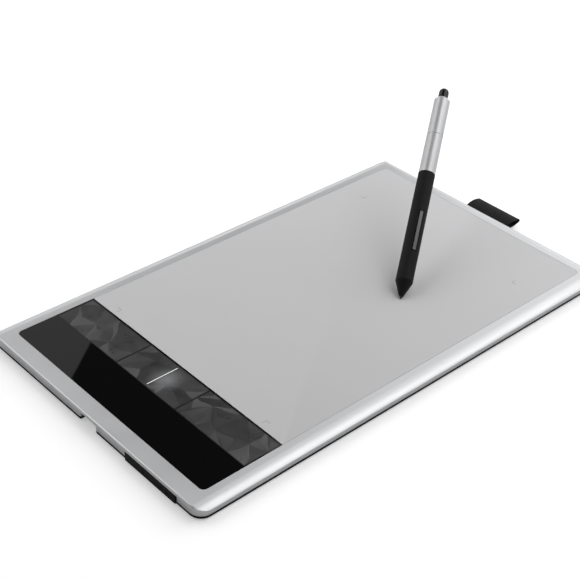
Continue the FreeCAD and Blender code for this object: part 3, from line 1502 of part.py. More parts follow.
def make_side_switch():
    body = new_body("pen_side_switch")
    half = S.switch_width / 2
    bar = (switch_top - S.switch_thickness, switch_top, -half, half)
    pad_block(body, "bar", bar, switch_low, switch_high)
    ear = S.switch_ear_half
    ear_box = (switch_pin_x - ear, switch_top - S.switch_thickness, -half / 2, half / 2)
    pad_block(body, "ear", ear_box, S.switch_position - ear, S.switch_position + ear)
    travel = number(S.pen_dome_offset) * math.sin(math.radians(number(S.switch_swing)))
    post_low = pen_board_top + S.pen_dome_height + travel + S.pen_gap
    post_box = (post_low, switch_top - S.switch_thickness, -half / 2, half / 2)
    for name, side in (("low", -1), ("high", 1)):
        middle = S.switch_position + side * S.pen_dome_offset
        pad_block(body, "post_" + name, post_box, middle - S.switch_post_half, middle + S.switch_post_half)
    cut_bore(
        body,
        "pin_bore",
        "XZ_Plane",
        S.switch_pin_radius + S.pen_gap,
        switch_pin_x,
        S.switch_position,
        S.switch_width,
        2 * S.switch_width,
    )
    place_on_pen(body)


def lying_disc(label, radius, turn_axis, x, y, z, length):
    """A short cylinder lying across the pen."""
    item = doc.addObject("Part::Cylinder", label)
    item.Placement = FreeCAD.Placement(VEC(), FreeCAD.Rotation(turn_axis, 90))
    bind(item, "Radius", radius)
    bind(item, "Height", length)
    bind(item, "Placement.Base.x", x)
    bind(item, "Placement.Base.y", y)
    bind(item, "Placement.Base.z", z)
    return item


def make_switch_pin():
    half = S.switch_pin_half
    radius = S.switch_pin_radius
    turn_axis = VEC(1, 0, 0)
    pin = lying_disc("switch_pin_rod", radius, turn_axis, switch_pin_x, half, S.switch_position, 2 * half)
    place_on_pen(group("pen_switch_pin", [pin]))


def make_pen_electronics():
    half = S.pen_board_width / 2
    box = (S.pen_board_rise, pen_board_top, -half, half)
    board = block("pen_board_blank", box, S.pen_board_start, S.pen_board_end)
    place_on_pen(group("pen_circuit_board", [board]))
    domes = []
    for side in (-1, 1):
        z = S.switch_position + side * S.pen_dome_offset
        name = "pen_dome_%d" % (side + 1)
        domes.append(
            lying_disc(name, S.pen_dome_radius, VEC(0, 1, 0), pen_board_top, 0, z, S.pen_dome_height)
        )
    place_on_pen(group("pen_switch_domes", domes))
    place_on_pen(tube("pen_coil_core", S.core_radius, nib_bore, coil_z, coil_z + S.coil_length))
    place_on_pen(tube("pen_coil_winding", S.winding_radius, S.core_radius, coil_z, coil_z + S.coil_length))
    sensor = disc("nib_sensor_can", 0, 0, S.sensor_radius, nib_sensor_z, chassis_z)
    place_on_pen(group("pen_pressure_sensor", [sensor]))
    rear_end = S.chassis_end + S.rear_sensor_length
    sensor = disc("rear_sensor_can", 0, 0, S.sensor_radius, S.chassis_end, rear_end)
    place_on_pen(group("pen_eraser_sensor", [sensor]))


def make_chassis():
    """Half-round carrier under the circuit board, hollowed between its solid ends."""
    body = new_body("pen_chassis")
    radius = S.chassis_radius
    pad_disc(body, "rod", 0, 0, radius, chassis_z, S.chassis_end)
    cut_block(body, "flat", (S.pen_board_rise, radius, -radius, radius), chassis_z, S.chassis_end)
    trough = S.chassis_trough
    start = chassis_z + S.chassis_end_wall
    end = S.chassis_end - S.chassis_end_wall
    cut_block(body, "trough", (-trough, S.pen_board_rise, -trough, trough), start, end)
    place_on_pen(body)


def make_barrels():
    body = new_body("pen_rear_barrel")
    seam_low = S.seam_position - S.seam_gap / 2
    seam_high = S.seam_position + S.seam_gap / 2
    spigot_end = seam_low + S.barrel_spigot_length
    step = shell_end + S.barrel_step
    turn(
        body,
        "barrel",
        [
            (S.barrel_bore, S.grip_end + S.pen_gap),
            (S.barrel_radius, S.grip_end + S.pen_gap),
            (S.seam_radius, seam_low),
            (S.barrel_spigot_radius, seam_low),
            (S.barrel_spigot_radius, spigot_end),
            (S.barrel_throat, spigot_end),
            (S.barrel_throat, step),
            (S.barrel_bore, step),
        ],
    )
    place_on_pen(body)
    body = new_body("pen_end_sleeve")
    bore = S.barrel_spigot_radius + S.pen_gap
    eraser_bore = S.eraser_radius + S.eraser_gap
    turn(
        body,
        "sleeve",
        [
            (bore, seam_high),
            (S.seam_radius, seam_high),
            (S.shoulder_radius, S.shoulder_position),
            (S.barrel_end_radius, S.barrel_end),
            (eraser_bore, S.barrel_end),
            (eraser_bore, S.eraser_seat),
            (bore, S.eraser_seat),
        ],
    )
    place_on_pen(body)


def make_eraser():
    centre = S.pen_length - S.eraser_radius
    place_on_pen(round_ended_rod("pen_eraser", S.eraser_radius, S.eraser_root, centre, centre))
    rod = disc("plunger_rod", 0, 0, S.plunger_radius, plunger_start, S.eraser_root)
    place_on_pen(group("pen_eraser_plunger", [rod]))


def check_and_write():
    doc.recompute()
    for item in doc.Objects:
        if "Invalid" in item.State or "Error" in item.State:
            raise RuntimeError("%s did not build" % item.Label)
    for body, cut in cuts:
        if not cut.Shape.Volume < cut.BaseFeature.Shape.Volume:
            raise RuntimeError("%s cuts nothing from %s" % (cut.Name, body.Label))
    for item in parts:
        if item.Shape.isNull() or not item.Shape.isValid() or not item.Shape.Solids:
            raise RuntimeError("%s has no valid solid" % item.Label)
    os.makedirs("parts", exist_ok=True)
    for item in parts:
        item.Shape.exportStep("parts/%s.step" % item.Label)
    print("%d parts written" % len(parts))


make_top_cover()
make_bottom_case()
make_feet()
make_drawing_surface()
make_gloss_panel()
make_outer_key("top_key", S.rocker_length / 2, key_half_y)
make_outer_key("bottom_key", -key_half_y, -S.rocker_length / 2)
make_middle_key()
make_light_bar()
make_key_frame()
make_key_board()
make_key_domes()
make_status_led()
make_sensor()
make_main_board()
make_chips()
make_flat_cables()
make_socket()
make_bay_liner()
make_bay_covers()
make_bay_contacts()
make_pen_loop()
make_loop_clamp()
make_screws()
make_nib()
make_tip_cone()
make_front_shell()
make_grip()
make_side_switch()
make_switch_pin()
make_pen_electronics()
make_chassis()
make_barrels()
make_eraser()
check_and_write()
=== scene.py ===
# Looks of the slim silver pen tablet and its pen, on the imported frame. Lengths are in metres.
import json
import math
import random

import bpy
from mathutils import Matrix, Vector

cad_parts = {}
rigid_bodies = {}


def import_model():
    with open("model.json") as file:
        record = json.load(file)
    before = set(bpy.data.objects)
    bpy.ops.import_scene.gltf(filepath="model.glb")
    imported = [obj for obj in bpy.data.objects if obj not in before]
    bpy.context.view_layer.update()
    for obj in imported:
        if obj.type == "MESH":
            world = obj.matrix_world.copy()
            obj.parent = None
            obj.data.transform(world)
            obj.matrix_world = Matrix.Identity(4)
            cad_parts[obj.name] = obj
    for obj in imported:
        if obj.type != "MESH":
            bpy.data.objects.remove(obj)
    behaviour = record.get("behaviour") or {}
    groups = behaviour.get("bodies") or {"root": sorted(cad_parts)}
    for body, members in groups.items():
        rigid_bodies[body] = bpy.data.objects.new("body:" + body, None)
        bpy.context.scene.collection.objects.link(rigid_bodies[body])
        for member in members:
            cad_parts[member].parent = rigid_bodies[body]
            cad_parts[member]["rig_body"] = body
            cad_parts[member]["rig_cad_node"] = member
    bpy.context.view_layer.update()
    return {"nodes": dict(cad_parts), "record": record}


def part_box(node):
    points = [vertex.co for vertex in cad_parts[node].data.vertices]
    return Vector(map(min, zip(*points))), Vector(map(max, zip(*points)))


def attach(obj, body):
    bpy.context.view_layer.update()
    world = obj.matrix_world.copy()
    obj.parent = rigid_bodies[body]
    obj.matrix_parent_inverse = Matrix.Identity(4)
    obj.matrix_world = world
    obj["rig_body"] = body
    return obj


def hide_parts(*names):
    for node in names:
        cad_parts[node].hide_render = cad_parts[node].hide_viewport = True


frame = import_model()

MM = 0.001
MERGE = 0.001 * MM
NEARLY = 0.01 * MM
NODES = frame["nodes"]

# Small helpers


def choose(*objects):
    """Selects these objects and nothing else, with the first one active."""
    bpy.ops.object.select_all(action="DESELECT")
    for item in objects:
        item.select_set(True)
    bpy.context.view_layer.objects.active = objects[0]


def edit(piece, pick=None, kind="VERT"):
    """Opens a piece for editing, with all of it selected or only what pick accepts."""
    choose(piece)
    bpy.ops.object.mode_set(mode="EDIT")
    bpy.ops.mesh.select_mode(type=kind)
    bpy.ops.mesh.select_all(action="DESELECT" if pick else "SELECT")
    if pick:
        bpy.ops.object.mode_set(mode="OBJECT")
        mesh = piece.data
        items = {"VERT": mesh.vertices, "EDGE": mesh.edges, "FACE": mesh.polygons}[kind]
        for item in items:
            item.select = bool(pick(item))
        bpy.ops.object.mode_set(mode="EDIT")


def close_edit():
    bpy.ops.object.mode_set(mode="OBJECT")


def copy_of(node, name):
    """A merged copy of a frame node's mesh, ready to be worked on."""
    choose(NODES[node])
    bpy.ops.object.duplicate()
    piece = bpy.context.view_layer.objects.active
    bpy.ops.object.parent_clear(type="CLEAR_KEEP_TRANSFORM")
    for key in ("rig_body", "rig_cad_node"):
        del piece[key]
    piece.name = name
    piece.data.name = name
    edit(piece)
    bpy.ops.mesh.remove_doubles(threshold=MERGE)
    close_edit()
    bpy.ops.mesh.customdata_custom_splitnormals_clear()
    return piece


def apply_modifier(piece, kind, **settings):
    choose(piece)
    modifier = piece.modifiers.new(kind.lower(), kind)
    for key, value in settings.items():
        setattr(modifier, key, value)
    bpy.ops.object.modifier_apply(modifier=modifier.name)


def smooth(piece, degrees=30):
    choose(piece)
    bpy.ops.object.shade_smooth_by_angle(angle=math.radians(degrees))


def settle(piece):
    """Puts the piece's place into its mesh."""
    choose(piece)
    bpy.ops.object.transform_apply(location=True, rotation=True, scale=True)


def stand_for(piece, node, body):
    """The piece takes a frame node's place and rides on its body."""
    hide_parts(node)
    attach(piece, body)


# Steps that the finishes share

LOOKS = {}
BLACK = (0, 0, 0)
WHITE = (1, 1, 1)


def shader_of(name):
    """A new finish with its node tree, its shader and its object coordinates."""
    look = bpy.data.materials.new(name)
    look.use_nodes = True
    tree = look.node_tree
    shader = tree.nodes["Principled BSDF"]
    place = tree.nodes.new("ShaderNodeTexCoord").outputs["Object"]
    LOOKS[name] = look
    return tree, shader, place


def axes_of(tree, place):
    """The X, Y and Z of a place, each a value of its own."""
    node = tree.nodes.new("ShaderNodeSeparateXYZ")
    tree.links.new(place, node.inputs["Vector"])
    return node.outputs


def noise(tree, place, size, detail=2.0):
    """Cloudy noise with features of about this size."""
    node = tree.nodes.new("ShaderNodeTexNoise")
    node.inputs["Scale"].default_value = 1 / size
    node.inputs["Detail"].default_value = detail
    tree.links.new(place, node.inputs["Vector"])
    return node.outputs["Fac"]


def spread(tree, value, low, high, start=0.3, end=0.7):
    """Maps a value's run from start to end onto low to high. Noise lies mostly from 0.3 to 0.7."""
    node = tree.nodes.new("ShaderNodeMapRange")
    tree.links.new(value, node.inputs["Value"])
    ranges = (("From Min", start), ("From Max", end), ("To Min", low), ("To Max", high))
    for socket, number in ranges:
        node.inputs[socket].default_value = number
    return node.outputs["Result"]


def blend_colours(tree, factor, first, second):
    node = tree.nodes.new("ShaderNodeMix")
    node.data_type = "RGBA"
    tree.links.new(factor, node.inputs["Factor"])
    node.inputs["A"].default_value = (*first, 1)
    node.inputs["B"].default_value = (*second, 1)
    return node.outputs["Result"]


def calculate(tree, operation, *values):
    """One step of arithmetic on sockets or numbers."""
    node = tree.nodes.new("ShaderNodeMath")
    node.operation = operation
    for socket, value in zip(node.inputs, values):
        if isinstance(value, (int, float)):
            socket.default_value = value
        else:
            tree.links.new(value, socket)
    return node.outputs["Value"]


def relief(tree, shader, height, depth):
    """Turns a height value into fine relief of this depth."""
    node = tree.nodes.new("ShaderNodeBump")
    node.inputs["Distance"].default_value = depth
    node.inputs["Strength"].default_value = 1.0
    tree.links.new(height, node.inputs["Height"])
    tree.links.new(node.outputs["Normal"], shader.inputs["Normal"])


def set_sockets(shader, **numbers):
    for key, value in numbers.items():
        shader.inputs[key.replace("_", " ")].default_value = value


# Plain finishes

CLOUD_DETAIL = 3.0
GLOSS_PATCHES = 3


def surface(name, colour, rough, grain=0.35 * MM, depth=0.01 * MM, patch=12 * MM, mottle=0.05,
            vary=0.05, **sockets):
    """A finish with fine grain, slight colour mottling and uneven gloss.

    Where colour is None, the caller links the colour itself.
    """
    tree, shader, place = shader_of(name)
    if colour is not None:
        dark = [c * (1 - mottle) for c in colour]
        pale = [min(c * (1 + mottle), 1) for c in colour]
        cloud = noise(tree, place, patch, CLOUD_DETAIL)
        tree.links.new(blend_colours(tree, cloud, dark, pale), shader.inputs["Base Color"])
    uneven = spread(tree, noise(tree, place, patch / GLOSS_PATCHES), rough - vary, rough + vary)
    tree.links.new(uneven, shader.inputs["Roughness"])
    relief(tree, shader, noise(tree, place, grain), depth)
    set_sockets(shader, **sockets)
    return tree, shader, place


FLAKE_SIZE = 0.16 * MM
DARK_FLAKE, PALE_FLAKE = 0.94, 1.05
LACQUER_PATCH = 25 * MM
LACQUER_VARY = 0.03
LACQUER_GRAIN = 0.3 * MM
LACQUER_RELIEF = 0.004 * MM


def lacquer(name, colour, rough, metal):
    """Satin silver lacquer: a metallic coat with fine flakes."""
    tree, shader, place = shader_of(name)
    flakes = tree.nodes.new("ShaderNodeTexVoronoi")
    flakes.inputs["Scale"].default_value = 1 / FLAKE_SIZE
    tree.links.new(place, flakes.inputs["Vector"])
    dark = [c * DARK_FLAKE for c in colour]
    pale = [min(c * PALE_FLAKE, 1) for c in colour]
    coat = blend_colours(tree, flakes.outputs["Color"], dark, pale)
    tree.links.new(coat, shader.inputs["Base Color"])
    cloud = noise(tree, place, LACQUER_PATCH)
    uneven = spread(tree, cloud, rough - LACQUER_VARY, rough + LACQUER_VARY)
    tree.links.new(uneven, shader.inputs["Roughness"])
    relief(tree, shader, noise(tree, place, LACQUER_GRAIN), LACQUER_RELIEF)
    set_sockets(shader, Metallic=metal)


# Outside of the tablet
lacquer("silver_plastic", (0.635, 0.64, 0.65), 0.33, 0.54)
surface("black_case", (0.006, 0.006, 0.0065), 0.55, depth=0.02 * MM, Specular_IOR_Level=0.15)
surface("drawing_sheet", (0.69, 0.69, 0.70), 0.62, grain=0.25 * MM, depth=0.012 * MM,
        patch=40 * MM, mottle=0.01, Specular_IOR_Level=0.25)
# The sheet's bevelled edge is painted paler than the sheet: a painted highlight on top of the
# light the bevel really catches.
surface("sheet_edge", (0.86, 0.86, 0.87), 0.3, depth=0.004 * MM)
surface("area_mark", (0.40, 0.40, 0.41), 0.5, depth=0.004 * MM)
surface("gloss_black", (0.003, 0.003, 0.0035), 0.015, depth=0.0003 * MM, patch=30 * MM,
        vary=0.005)
surface("cover_grey", (0.004, 0.0041, 0.0043), 0.45, depth=0.01 * MM, Specular_IOR_Level=0.1)
surface("rubber", (0.03, 0.03, 0.03), 0.8, grain=0.5 * MM, depth=0.03 * MM)

# Inside of the tablet
surface("circuit_board", (0.012, 0.12, 0.05), 0.35, grain=1.2 * MM, depth=0.02 * MM,
        patch=6 * MM, mottle=0.2)
surface("flat_cable", (0.72, 0.68, 0.6), 0.4, patch=4 * MM, mottle=0.08)
surface("chip_black", (0.02, 0.02, 0.022), 0.5, grain=0.15 * MM, depth=0.01 * MM)
surface("lamp_white", (0.85, 0.85, 0.78), 0.2, patch=2 * MM)
surface("steel", (0.58, 0.58, 0.59), 0.32, grain=0.4 * MM, depth=0.004 * MM, mottle=0.06,
        Metallic=1.0)
surface("screw_steel", (0.4, 0.4, 0.41), 0.3, grain=0.3 * MM, depth=0.006 * MM, mottle=0.1,
        Metallic=1.0)
surface("contact_brass", (0.8, 0.6, 0.28), 0.25, grain=0.4 * MM, mottle=0.08, Metallic=1.0)

# Pen
lacquer("pen_silver", (0.62, 0.625, 0.635), 0.34, 0.3)
surface("nib_black", (0.02, 0.02, 0.02), 0.5, grain=0.15 * MM, depth=0.006 * MM)
surface("pen_black", (0.016, 0.016, 0.0165), 0.48, grain=0.2 * MM, depth=0.006 * MM,
        Specular_IOR_Level=0.08)
surface("pen_rubber", (0.017, 0.017, 0.018), 0.55, grain=0.2 * MM, depth=0.008 * MM,
        Specular_IOR_Level=0.08)
surface("eraser_black", (0.002, 0.002, 0.002), 0.12, depth=0.001 * MM, Specular_IOR_Level=0.3)
surface("chassis_grey", (0.18, 0.18, 0.185), 0.5)
surface("ferrite", (0.09, 0.085, 0.085), 0.6, grain=0.3 * MM, depth=0.03 * MM, mottle=0.15)
surface("copper", (0.7, 0.36, 0.2), 0.3, grain=0.2 * MM, depth=0.02 * MM, mottle=0.1,
        Metallic=1.0)

# Finishes of the light bar, the pen's switch, the key plates and the loop


def glowing_bar_finish():
    """Frosted plastic bar that glows along its middle line."""
    tree, shader, place = surface("light_guide", None, 0.3, patch=3 * MM)
    low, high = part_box("light_bar")
    from_middle = calculate(tree, "SUBTRACT", axes_of(tree, place)["Y"], (low.y + high.y) / 2)
    off_middle = calculate(tree, "ABSOLUTE", from_middle)
    half_width = (high.y - low.y) / 2
    line_edge, line_end = 0.35 * half_width, 0.75 * half_width
    glow = spread(tree, off_middle, 1.0, 0.0, line_edge, line_end)
    light = blend_colours(tree, glow, BLACK, WHITE)
    body = blend_colours(tree, glow, (0.03, 0.03, 0.03), (0.5, 0.5, 0.5))
    tree.links.new(light, shader.inputs["Emission Color"])
    tree.links.new(body, shader.inputs["Base Color"])
    set_sockets(shader, Emission_Strength=0.75)


def switch_finish():
    """Half gloss grey that is paler at the switch's rear end."""
    tree, shader, place = surface("switch_grey", None, 0.25, depth=0.002 * MM)
    low, high = (corner.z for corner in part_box("pen_side_switch"))
    pale = spread(tree, axes_of(tree, place)["Z"], 0.0, 1.0, low, high)
    colour = blend_colours(tree, pale, (0.022, 0.022, 0.023), (0.10, 0.10, 0.102))
    tree.links.new(colour, shader.inputs["Base Color"])


# The key plates' rims are darkened: painted shade standing in for the shade in the narrow gaps
# between the keys.
RIM_PAINTED_SHADE = 0.08
RIM_START, RIM_END = 0.45 * MM, 0.75 * MM
GREEN_SHARE = 0.97
PLATE_PATCH = 9 * MM
PLATE_SATIN, PLATE_MATT = 0.26, 0.36
PLATE_GRAIN = 0.25 * MM
PLATE_RELIEF = 0.002 * MM
GLOW_REACH_X, GLOW_REACH_Y = 8.5 * MM, 7 * MM
GLOW_DROP = 4 * MM
GLOW_COLOUR = (0.94, 0.97, 1.0)


def plate_outline(node):
    """The low and the high corner of a key's flat top, in X and Y."""
    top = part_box(node)[1].z
    plate = [vertex.co for vertex in NODES[node].data.vertices if vertex.co.z > top - NEARLY]
    return [[end(point[i] for point in plate) for i in range(2)] for end in (min, max)]


def painted_rim_shade(tree, axes, node):
    """One over the key's plate, falling near its outline to painted shade that stands in for the
    shade in the gaps between the keys.
    """
    low, high = plate_outline(node)
    inside = []
    for i, letter in enumerate("XY"):
        from_middle = calculate(tree, "SUBTRACT", axes[letter], (low[i] + high[i]) / 2)
        off_middle = calculate(tree, "ABSOLUTE", from_middle)
        inside.append(calculate(tree, "SUBTRACT", (high[i] - low[i]) / 2, off_middle))
    nearest = calculate(tree, "MINIMUM", *inside)
    return spread(tree, nearest, RIM_PAINTED_SHADE, 1.0, RIM_START, RIM_END)


def bar_halo(tree, axes, middle):
    """A soft spot round this middle, one at the middle and falling to nothing."""
    squares = []
    for i, letter, reach in ((0, "X", GLOW_REACH_X), (1, "Y", GLOW_REACH_Y)):
        from_middle = calculate(tree, "SUBTRACT", axes[letter], middle[i])
        share = calculate(tree, "DIVIDE", from_middle, reach)
        squares.append(calculate(tree, "MULTIPLY", share, share))
    distance = calculate(tree, "MULTIPLY", calculate(tree, "ADD", *squares), -1.0)
    return calculate(tree, "EXPONENT", distance)


def facet_finish(name, node, glow=None):
    """Half gloss dark plate of one key, with its facets' greys from the mesh and painted shade
    along its rim, for the gaps between the keys.

    glow is the middle of the halo that the light bar throws on the plate.
    """
    tree, shader, place = shader_of(name)
    axes = axes_of(tree, place)
    # Painted shade along the plate's rim, for the gaps between the keys.
    rim = painted_rim_shade(tree, axes, node)
    grey = tree.nodes.new("ShaderNodeAttribute")
    grey.attribute_name = "facet_grey"
    tone = calculate(tree, "MULTIPLY", grey.outputs["Fac"], rim)
    tint = tree.nodes.new("ShaderNodeCombineColor")
    tree.links.new(tone, tint.inputs["Red"])
    tree.links.new(calculate(tree, "MULTIPLY", tone, GREEN_SHARE), tint.inputs["Green"])
    tree.links.new(tone, tint.inputs["Blue"])
    tree.links.new(tint.outputs["Color"], shader.inputs["Base Color"])
    uneven = spread(tree, noise(tree, place, PLATE_PATCH), PLATE_SATIN, PLATE_MATT)
    tree.links.new(uneven, shader.inputs["Roughness"])
    relief(tree, shader, noise(tree, place, PLATE_GRAIN), PLATE_RELIEF)
    if glow is not None:
        halo = blend_colours(tree, bar_halo(tree, axes, glow), BLACK, GLOW_COLOUR)
        tree.links.new(halo, shader.inputs["Emission Color"])
        set_sockets(shader, Emission_Strength=0.15)


WEAVE_RIB = 0.55 * MM
WEAVE_FLUFF = 0.2 * MM
WEAVE_RELIEF = 0.12 * MM
THREAD_LOW, THREAD_HIGH = -0.8, 1.6


def weave_finish():
    """Black woven tape: ribs along and across it by its UV map, which is in metres."""
    tree, shader, place = shader_of("loop_fabric")
    flat = axes_of(tree, tree.nodes.new("ShaderNodeUVMap").outputs["UV"])
    per_rib = 2 * math.pi / WEAVE_RIB
    along = calculate(tree, "SINE", calculate(tree, "MULTIPLY", flat["X"], per_rib))
    rib_number = calculate(tree, "ROUND", calculate(tree, "DIVIDE", flat["X"], WEAVE_RIB))
    shifted = calculate(tree, "ADD", calculate(tree, "MULTIPLY", flat["Y"], per_rib),
                        calculate(tree, "MULTIPLY", rib_number, math.pi))
    across = calculate(tree, "SINE", shifted)
    crossing = calculate(tree, "MULTIPLY", along, across)
    thread = calculate(tree, "ADD", crossing, noise(tree, place, WEAVE_FLUFF))
    shade = spread(tree, thread, 0.0, 1.0, THREAD_LOW, THREAD_HIGH)
    colour = blend_colours(tree, shade, (0.004, 0.004, 0.0045), (0.018, 0.018, 0.019))
    tree.links.new(colour, shader.inputs["Base Color"])
    relief(tree, shader, thread, WEAVE_RELIEF)
    set_sockets(shader, Roughness=0.8, Specular_IOR_Level=0.2, Sheen_Weight=0.04,
                Sheen_Roughness=0.4)


glowing_bar_finish()
switch_finish()
bar_middle = sum(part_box("light_bar"), Vector()) / 2
facet_finish("key_plate", "top_key")
facet_finish("bottom_key_plate", "bottom_key")
facet_finish("rocker_plate", "middle_rocker_key", (bar_middle.x, bar_middle.y - GLOW_DROP))
weave_finish()

for part in frame["record"]["subparts"]:
    NODES[part["node"]].data.materials.clear()
    NODES[part["node"]].data.materials.append(LOOKS[part["material_slot"]])

# The three keys, with faceted tops of the builder's own layout

FACET_SIZE = 18 * MM
FACET_DEPTH = 0.16 * MM
FACET_SWAY = 1.7 * MM
SWAY_LENGTH = 1.7 * FACET_SIZE
SWAY_MARGIN = 0.5 * FACET_SIZE
FACET_CUTS = 7
POINT_SHIFT = 0.4
LEAST_DROP = 0.5
POKED_SHARE = 0.45
NEAR_WEIGHT, FAR_WEIGHT = 0.42, 0.16
FACET_GREYS = (0.012, 0.018, 0.024, 0.032, 0.042, 0.056, 0.078)
GREY_LEAN = 0.7
SIDE_GREY = 0.02


def crumpled_grid(name, low, high, chance):
    """Large triangles at the top of a box, with their corners moved about and lowered."""
    size = high - low
    middle = (low + high) / 2
    steps = [max(2, round(size.x / FACET_SIZE)), max(2, round(size.y / FACET_SIZE))]
    bpy.ops.object.select_all(action="DESELECT")
    bpy.ops.mesh.primitive_grid_add(x_subdivisions=steps[0], y_subdivisions=steps[1], size=1.0)
    grid = bpy.context.view_layer.objects.active
    grid.name = name
    grid.scale = (size.x, size.y, 1.0)
    grid.location = (middle.x, middle.y, high.z)
    settle(grid)
    pitch = (size.x / steps[0], size.y / steps[1])
    for vertex in grid.data.vertices:
        if low.x + pitch[0] / 2 < vertex.co.x < high.x - pitch[0] / 2:
            vertex.co.x += pitch[0] * chance.uniform(-POINT_SHIFT, POINT_SHIFT)
        if low.y + pitch[1] / 2 < vertex.co.y < high.y - pitch[1] / 2:
            vertex.co.y += pitch[1] * chance.uniform(-POINT_SHIFT, POINT_SHIFT)
        vertex.co.z -= FACET_DEPTH * (LEAST_DROP + chance.random())
    edit(grid)
    bpy.ops.mesh.quads_convert_to_tris(quad_method="SHORTEST_DIAGONAL")
    close_edit()
    return grid


def poke_some_facets(grid, chance):
    """Splits some triangles at a point near one of their edges."""
    split = {face.index for face in grid.data.polygons if chance.random() < POKED_SHARE}
    first_new = len(grid.data.vertices)
    edit(grid, lambda face: face.index in split, "FACE")
    bpy.ops.mesh.poke()
    close_edit()
    corners = {}
    for edge in grid.data.edges:
        inner, outer = max(edge.vertices), min(edge.vertices)
        if inner >= first_new:
            corners.setdefault(inner, []).append(grid.data.vertices[outer].co.copy())
    for index in sorted(corners):
        one, other, far = chance.sample(corners[index], 3)
        place = NEAR_WEIGHT * one + NEAR_WEIGHT * other + FAR_WEIGHT * far
        grid.data.vertices[index].co = place


def grey_facets(grid, chance):
    """Keeps one of the greys in each facet's corners, leaning a little across the facet."""
    grey = grid.data.attributes.new("facet_grey", "FLOAT_COLOR", "CORNER")
    for face in grid.data.polygons:
        tone = chance.choice(FACET_GREYS)
        run = Vector((chance.uniform(-1, 1), chance.uniform(-1, 1), 0))
        lean = run * GREY_LEAN / FACET_SIZE
        for loop in face.loop_indices:
            corner = grid.data.vertices[grid.data.loops[loop].vertex_index].co
            value = max(FACET_GREYS[0], tone * (1 + lean.dot(corner - face.center)))
            grey.data[loop].color = (value, value, value, 1)


def sway_facets(grid, low, high, seed):
    """Cuts the facets finely and bends their edges a little, though not at the rim."""
    edit(grid)
    bpy.ops.mesh.subdivide(number_cuts=FACET_CUTS)
    close_edit()
    turn = 2 * math.pi / SWAY_LENGTH
    for vertex in grid.data.vertices:
        here = vertex.co.copy()
        rim = min(here.x - low.x, high.x - here.x, here.y - low.y, high.y - here.y)
        reach = min(1, max(0, rim / SWAY_MARGIN)) * FACET_SWAY
        vertex.co.x += reach * math.sin(turn * here.y + seed)
        vertex.co.y += reach * math.sin(turn * here.x + 2 * seed)


def faceted_block(name, low, high, seed):
    """A closed block with a crumpled top, which holds its facets' greys in the mesh."""
    chance = random.Random(seed)
    block = crumpled_grid(name, low, high, chance)
    poke_some_facets(block, chance)
    grey_facets(block, chance)
    sway_facets(block, low, high, seed)
    edit(block)
    drop = (0, 0, low.z - high.z)
    bpy.ops.mesh.extrude_region_move(TRANSFORM_OT_translate={"value": drop})
    bpy.ops.mesh.select_all(action="SELECT")
    bpy.ops.mesh.normals_make_consistent(inside=False)
    close_edit()
    return block


def make_faceted_key(node, name, body, look, seed):
    """The key's own shape, cut down at its top by a block with a crumpled top."""
    key = copy_of(node, name)
    low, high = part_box(node)
    key.data.attributes.new("facet_grey", "FLOAT_COLOR", "CORNER")
    for item in key.data.attributes["facet_grey"].data:
        item.color = (SIDE_GREY, SIDE_GREY, SIDE_GREY, 1)
    margin = Vector((1, 1, 0)) * MM
    below = low - margin - Vector((0, 0, MM))
    block = faceted_block(name + "_facets", below, high + margin, seed)
    apply_modifier(key, "BOOLEAN", operation="INTERSECT", solver="EXACT", object=block)
    bpy.data.objects.remove(block)
    key.data.materials.clear()
    key.data.materials.append(LOOKS[look])
    for face in key.data.polygons:
        face.material_index = 0
    choose(key)
    bpy.ops.object.shade_flat()
    stand_for(key, node, body)


make_faceted_key("top_key", "faceted_top_key", "top_key", "key_plate", 3)
make_faceted_key("middle_rocker_key", "faceted_rocker_key", "middle_key", "rocker_plate", 11)
make_faceted_key("bottom_key", "faceted_bottom_key", "bottom_key", "bottom_key_plate", 23)

# The woven pen loop, a tape folded to a flat eye

TAPE = 0.7 * MM
FOLD = 0.9 * MM
EYE_STEPS = 16
FOLD_ANGLES = range(75, -76, -15)
TAPE_COLUMNS = 10
SELVEDGE = 0.12 * MM


def loop_path(low, high):
    """Points along the middle of the tape: its upper run, its fold and its lower run."""
    case_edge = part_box("top_cover")[1].x
    swell = (high.z - low.z - TAPE) / 2 - (FOLD + TAPE / 2) / 2
    middle_z = (low.z + high.z) / 2
    fold_x = high.x - TAPE / 2 - FOLD
    upper = [(low.x, TAPE / 2), (case_edge - MM, TAPE / 2)]
    for i in range(EYE_STEPS + 1):
        t = i / EYE_STEPS
        rise = TAPE / 2 * (1 - t) + FOLD * t + swell * math.sin(math.pi * t)
        upper.append((case_edge + (fold_x - case_edge) * t, rise))
    turns = [math.radians(angle) for angle in FOLD_ANGLES]
    tip = [(fold_x + FOLD * math.cos(turn), FOLD * math.sin(turn)) for turn in turns]
    path = upper + tip + [(x, -rise) for x, rise in reversed(upper)]
    return [Vector((x, 0, middle_z + z)) for x, z in path]


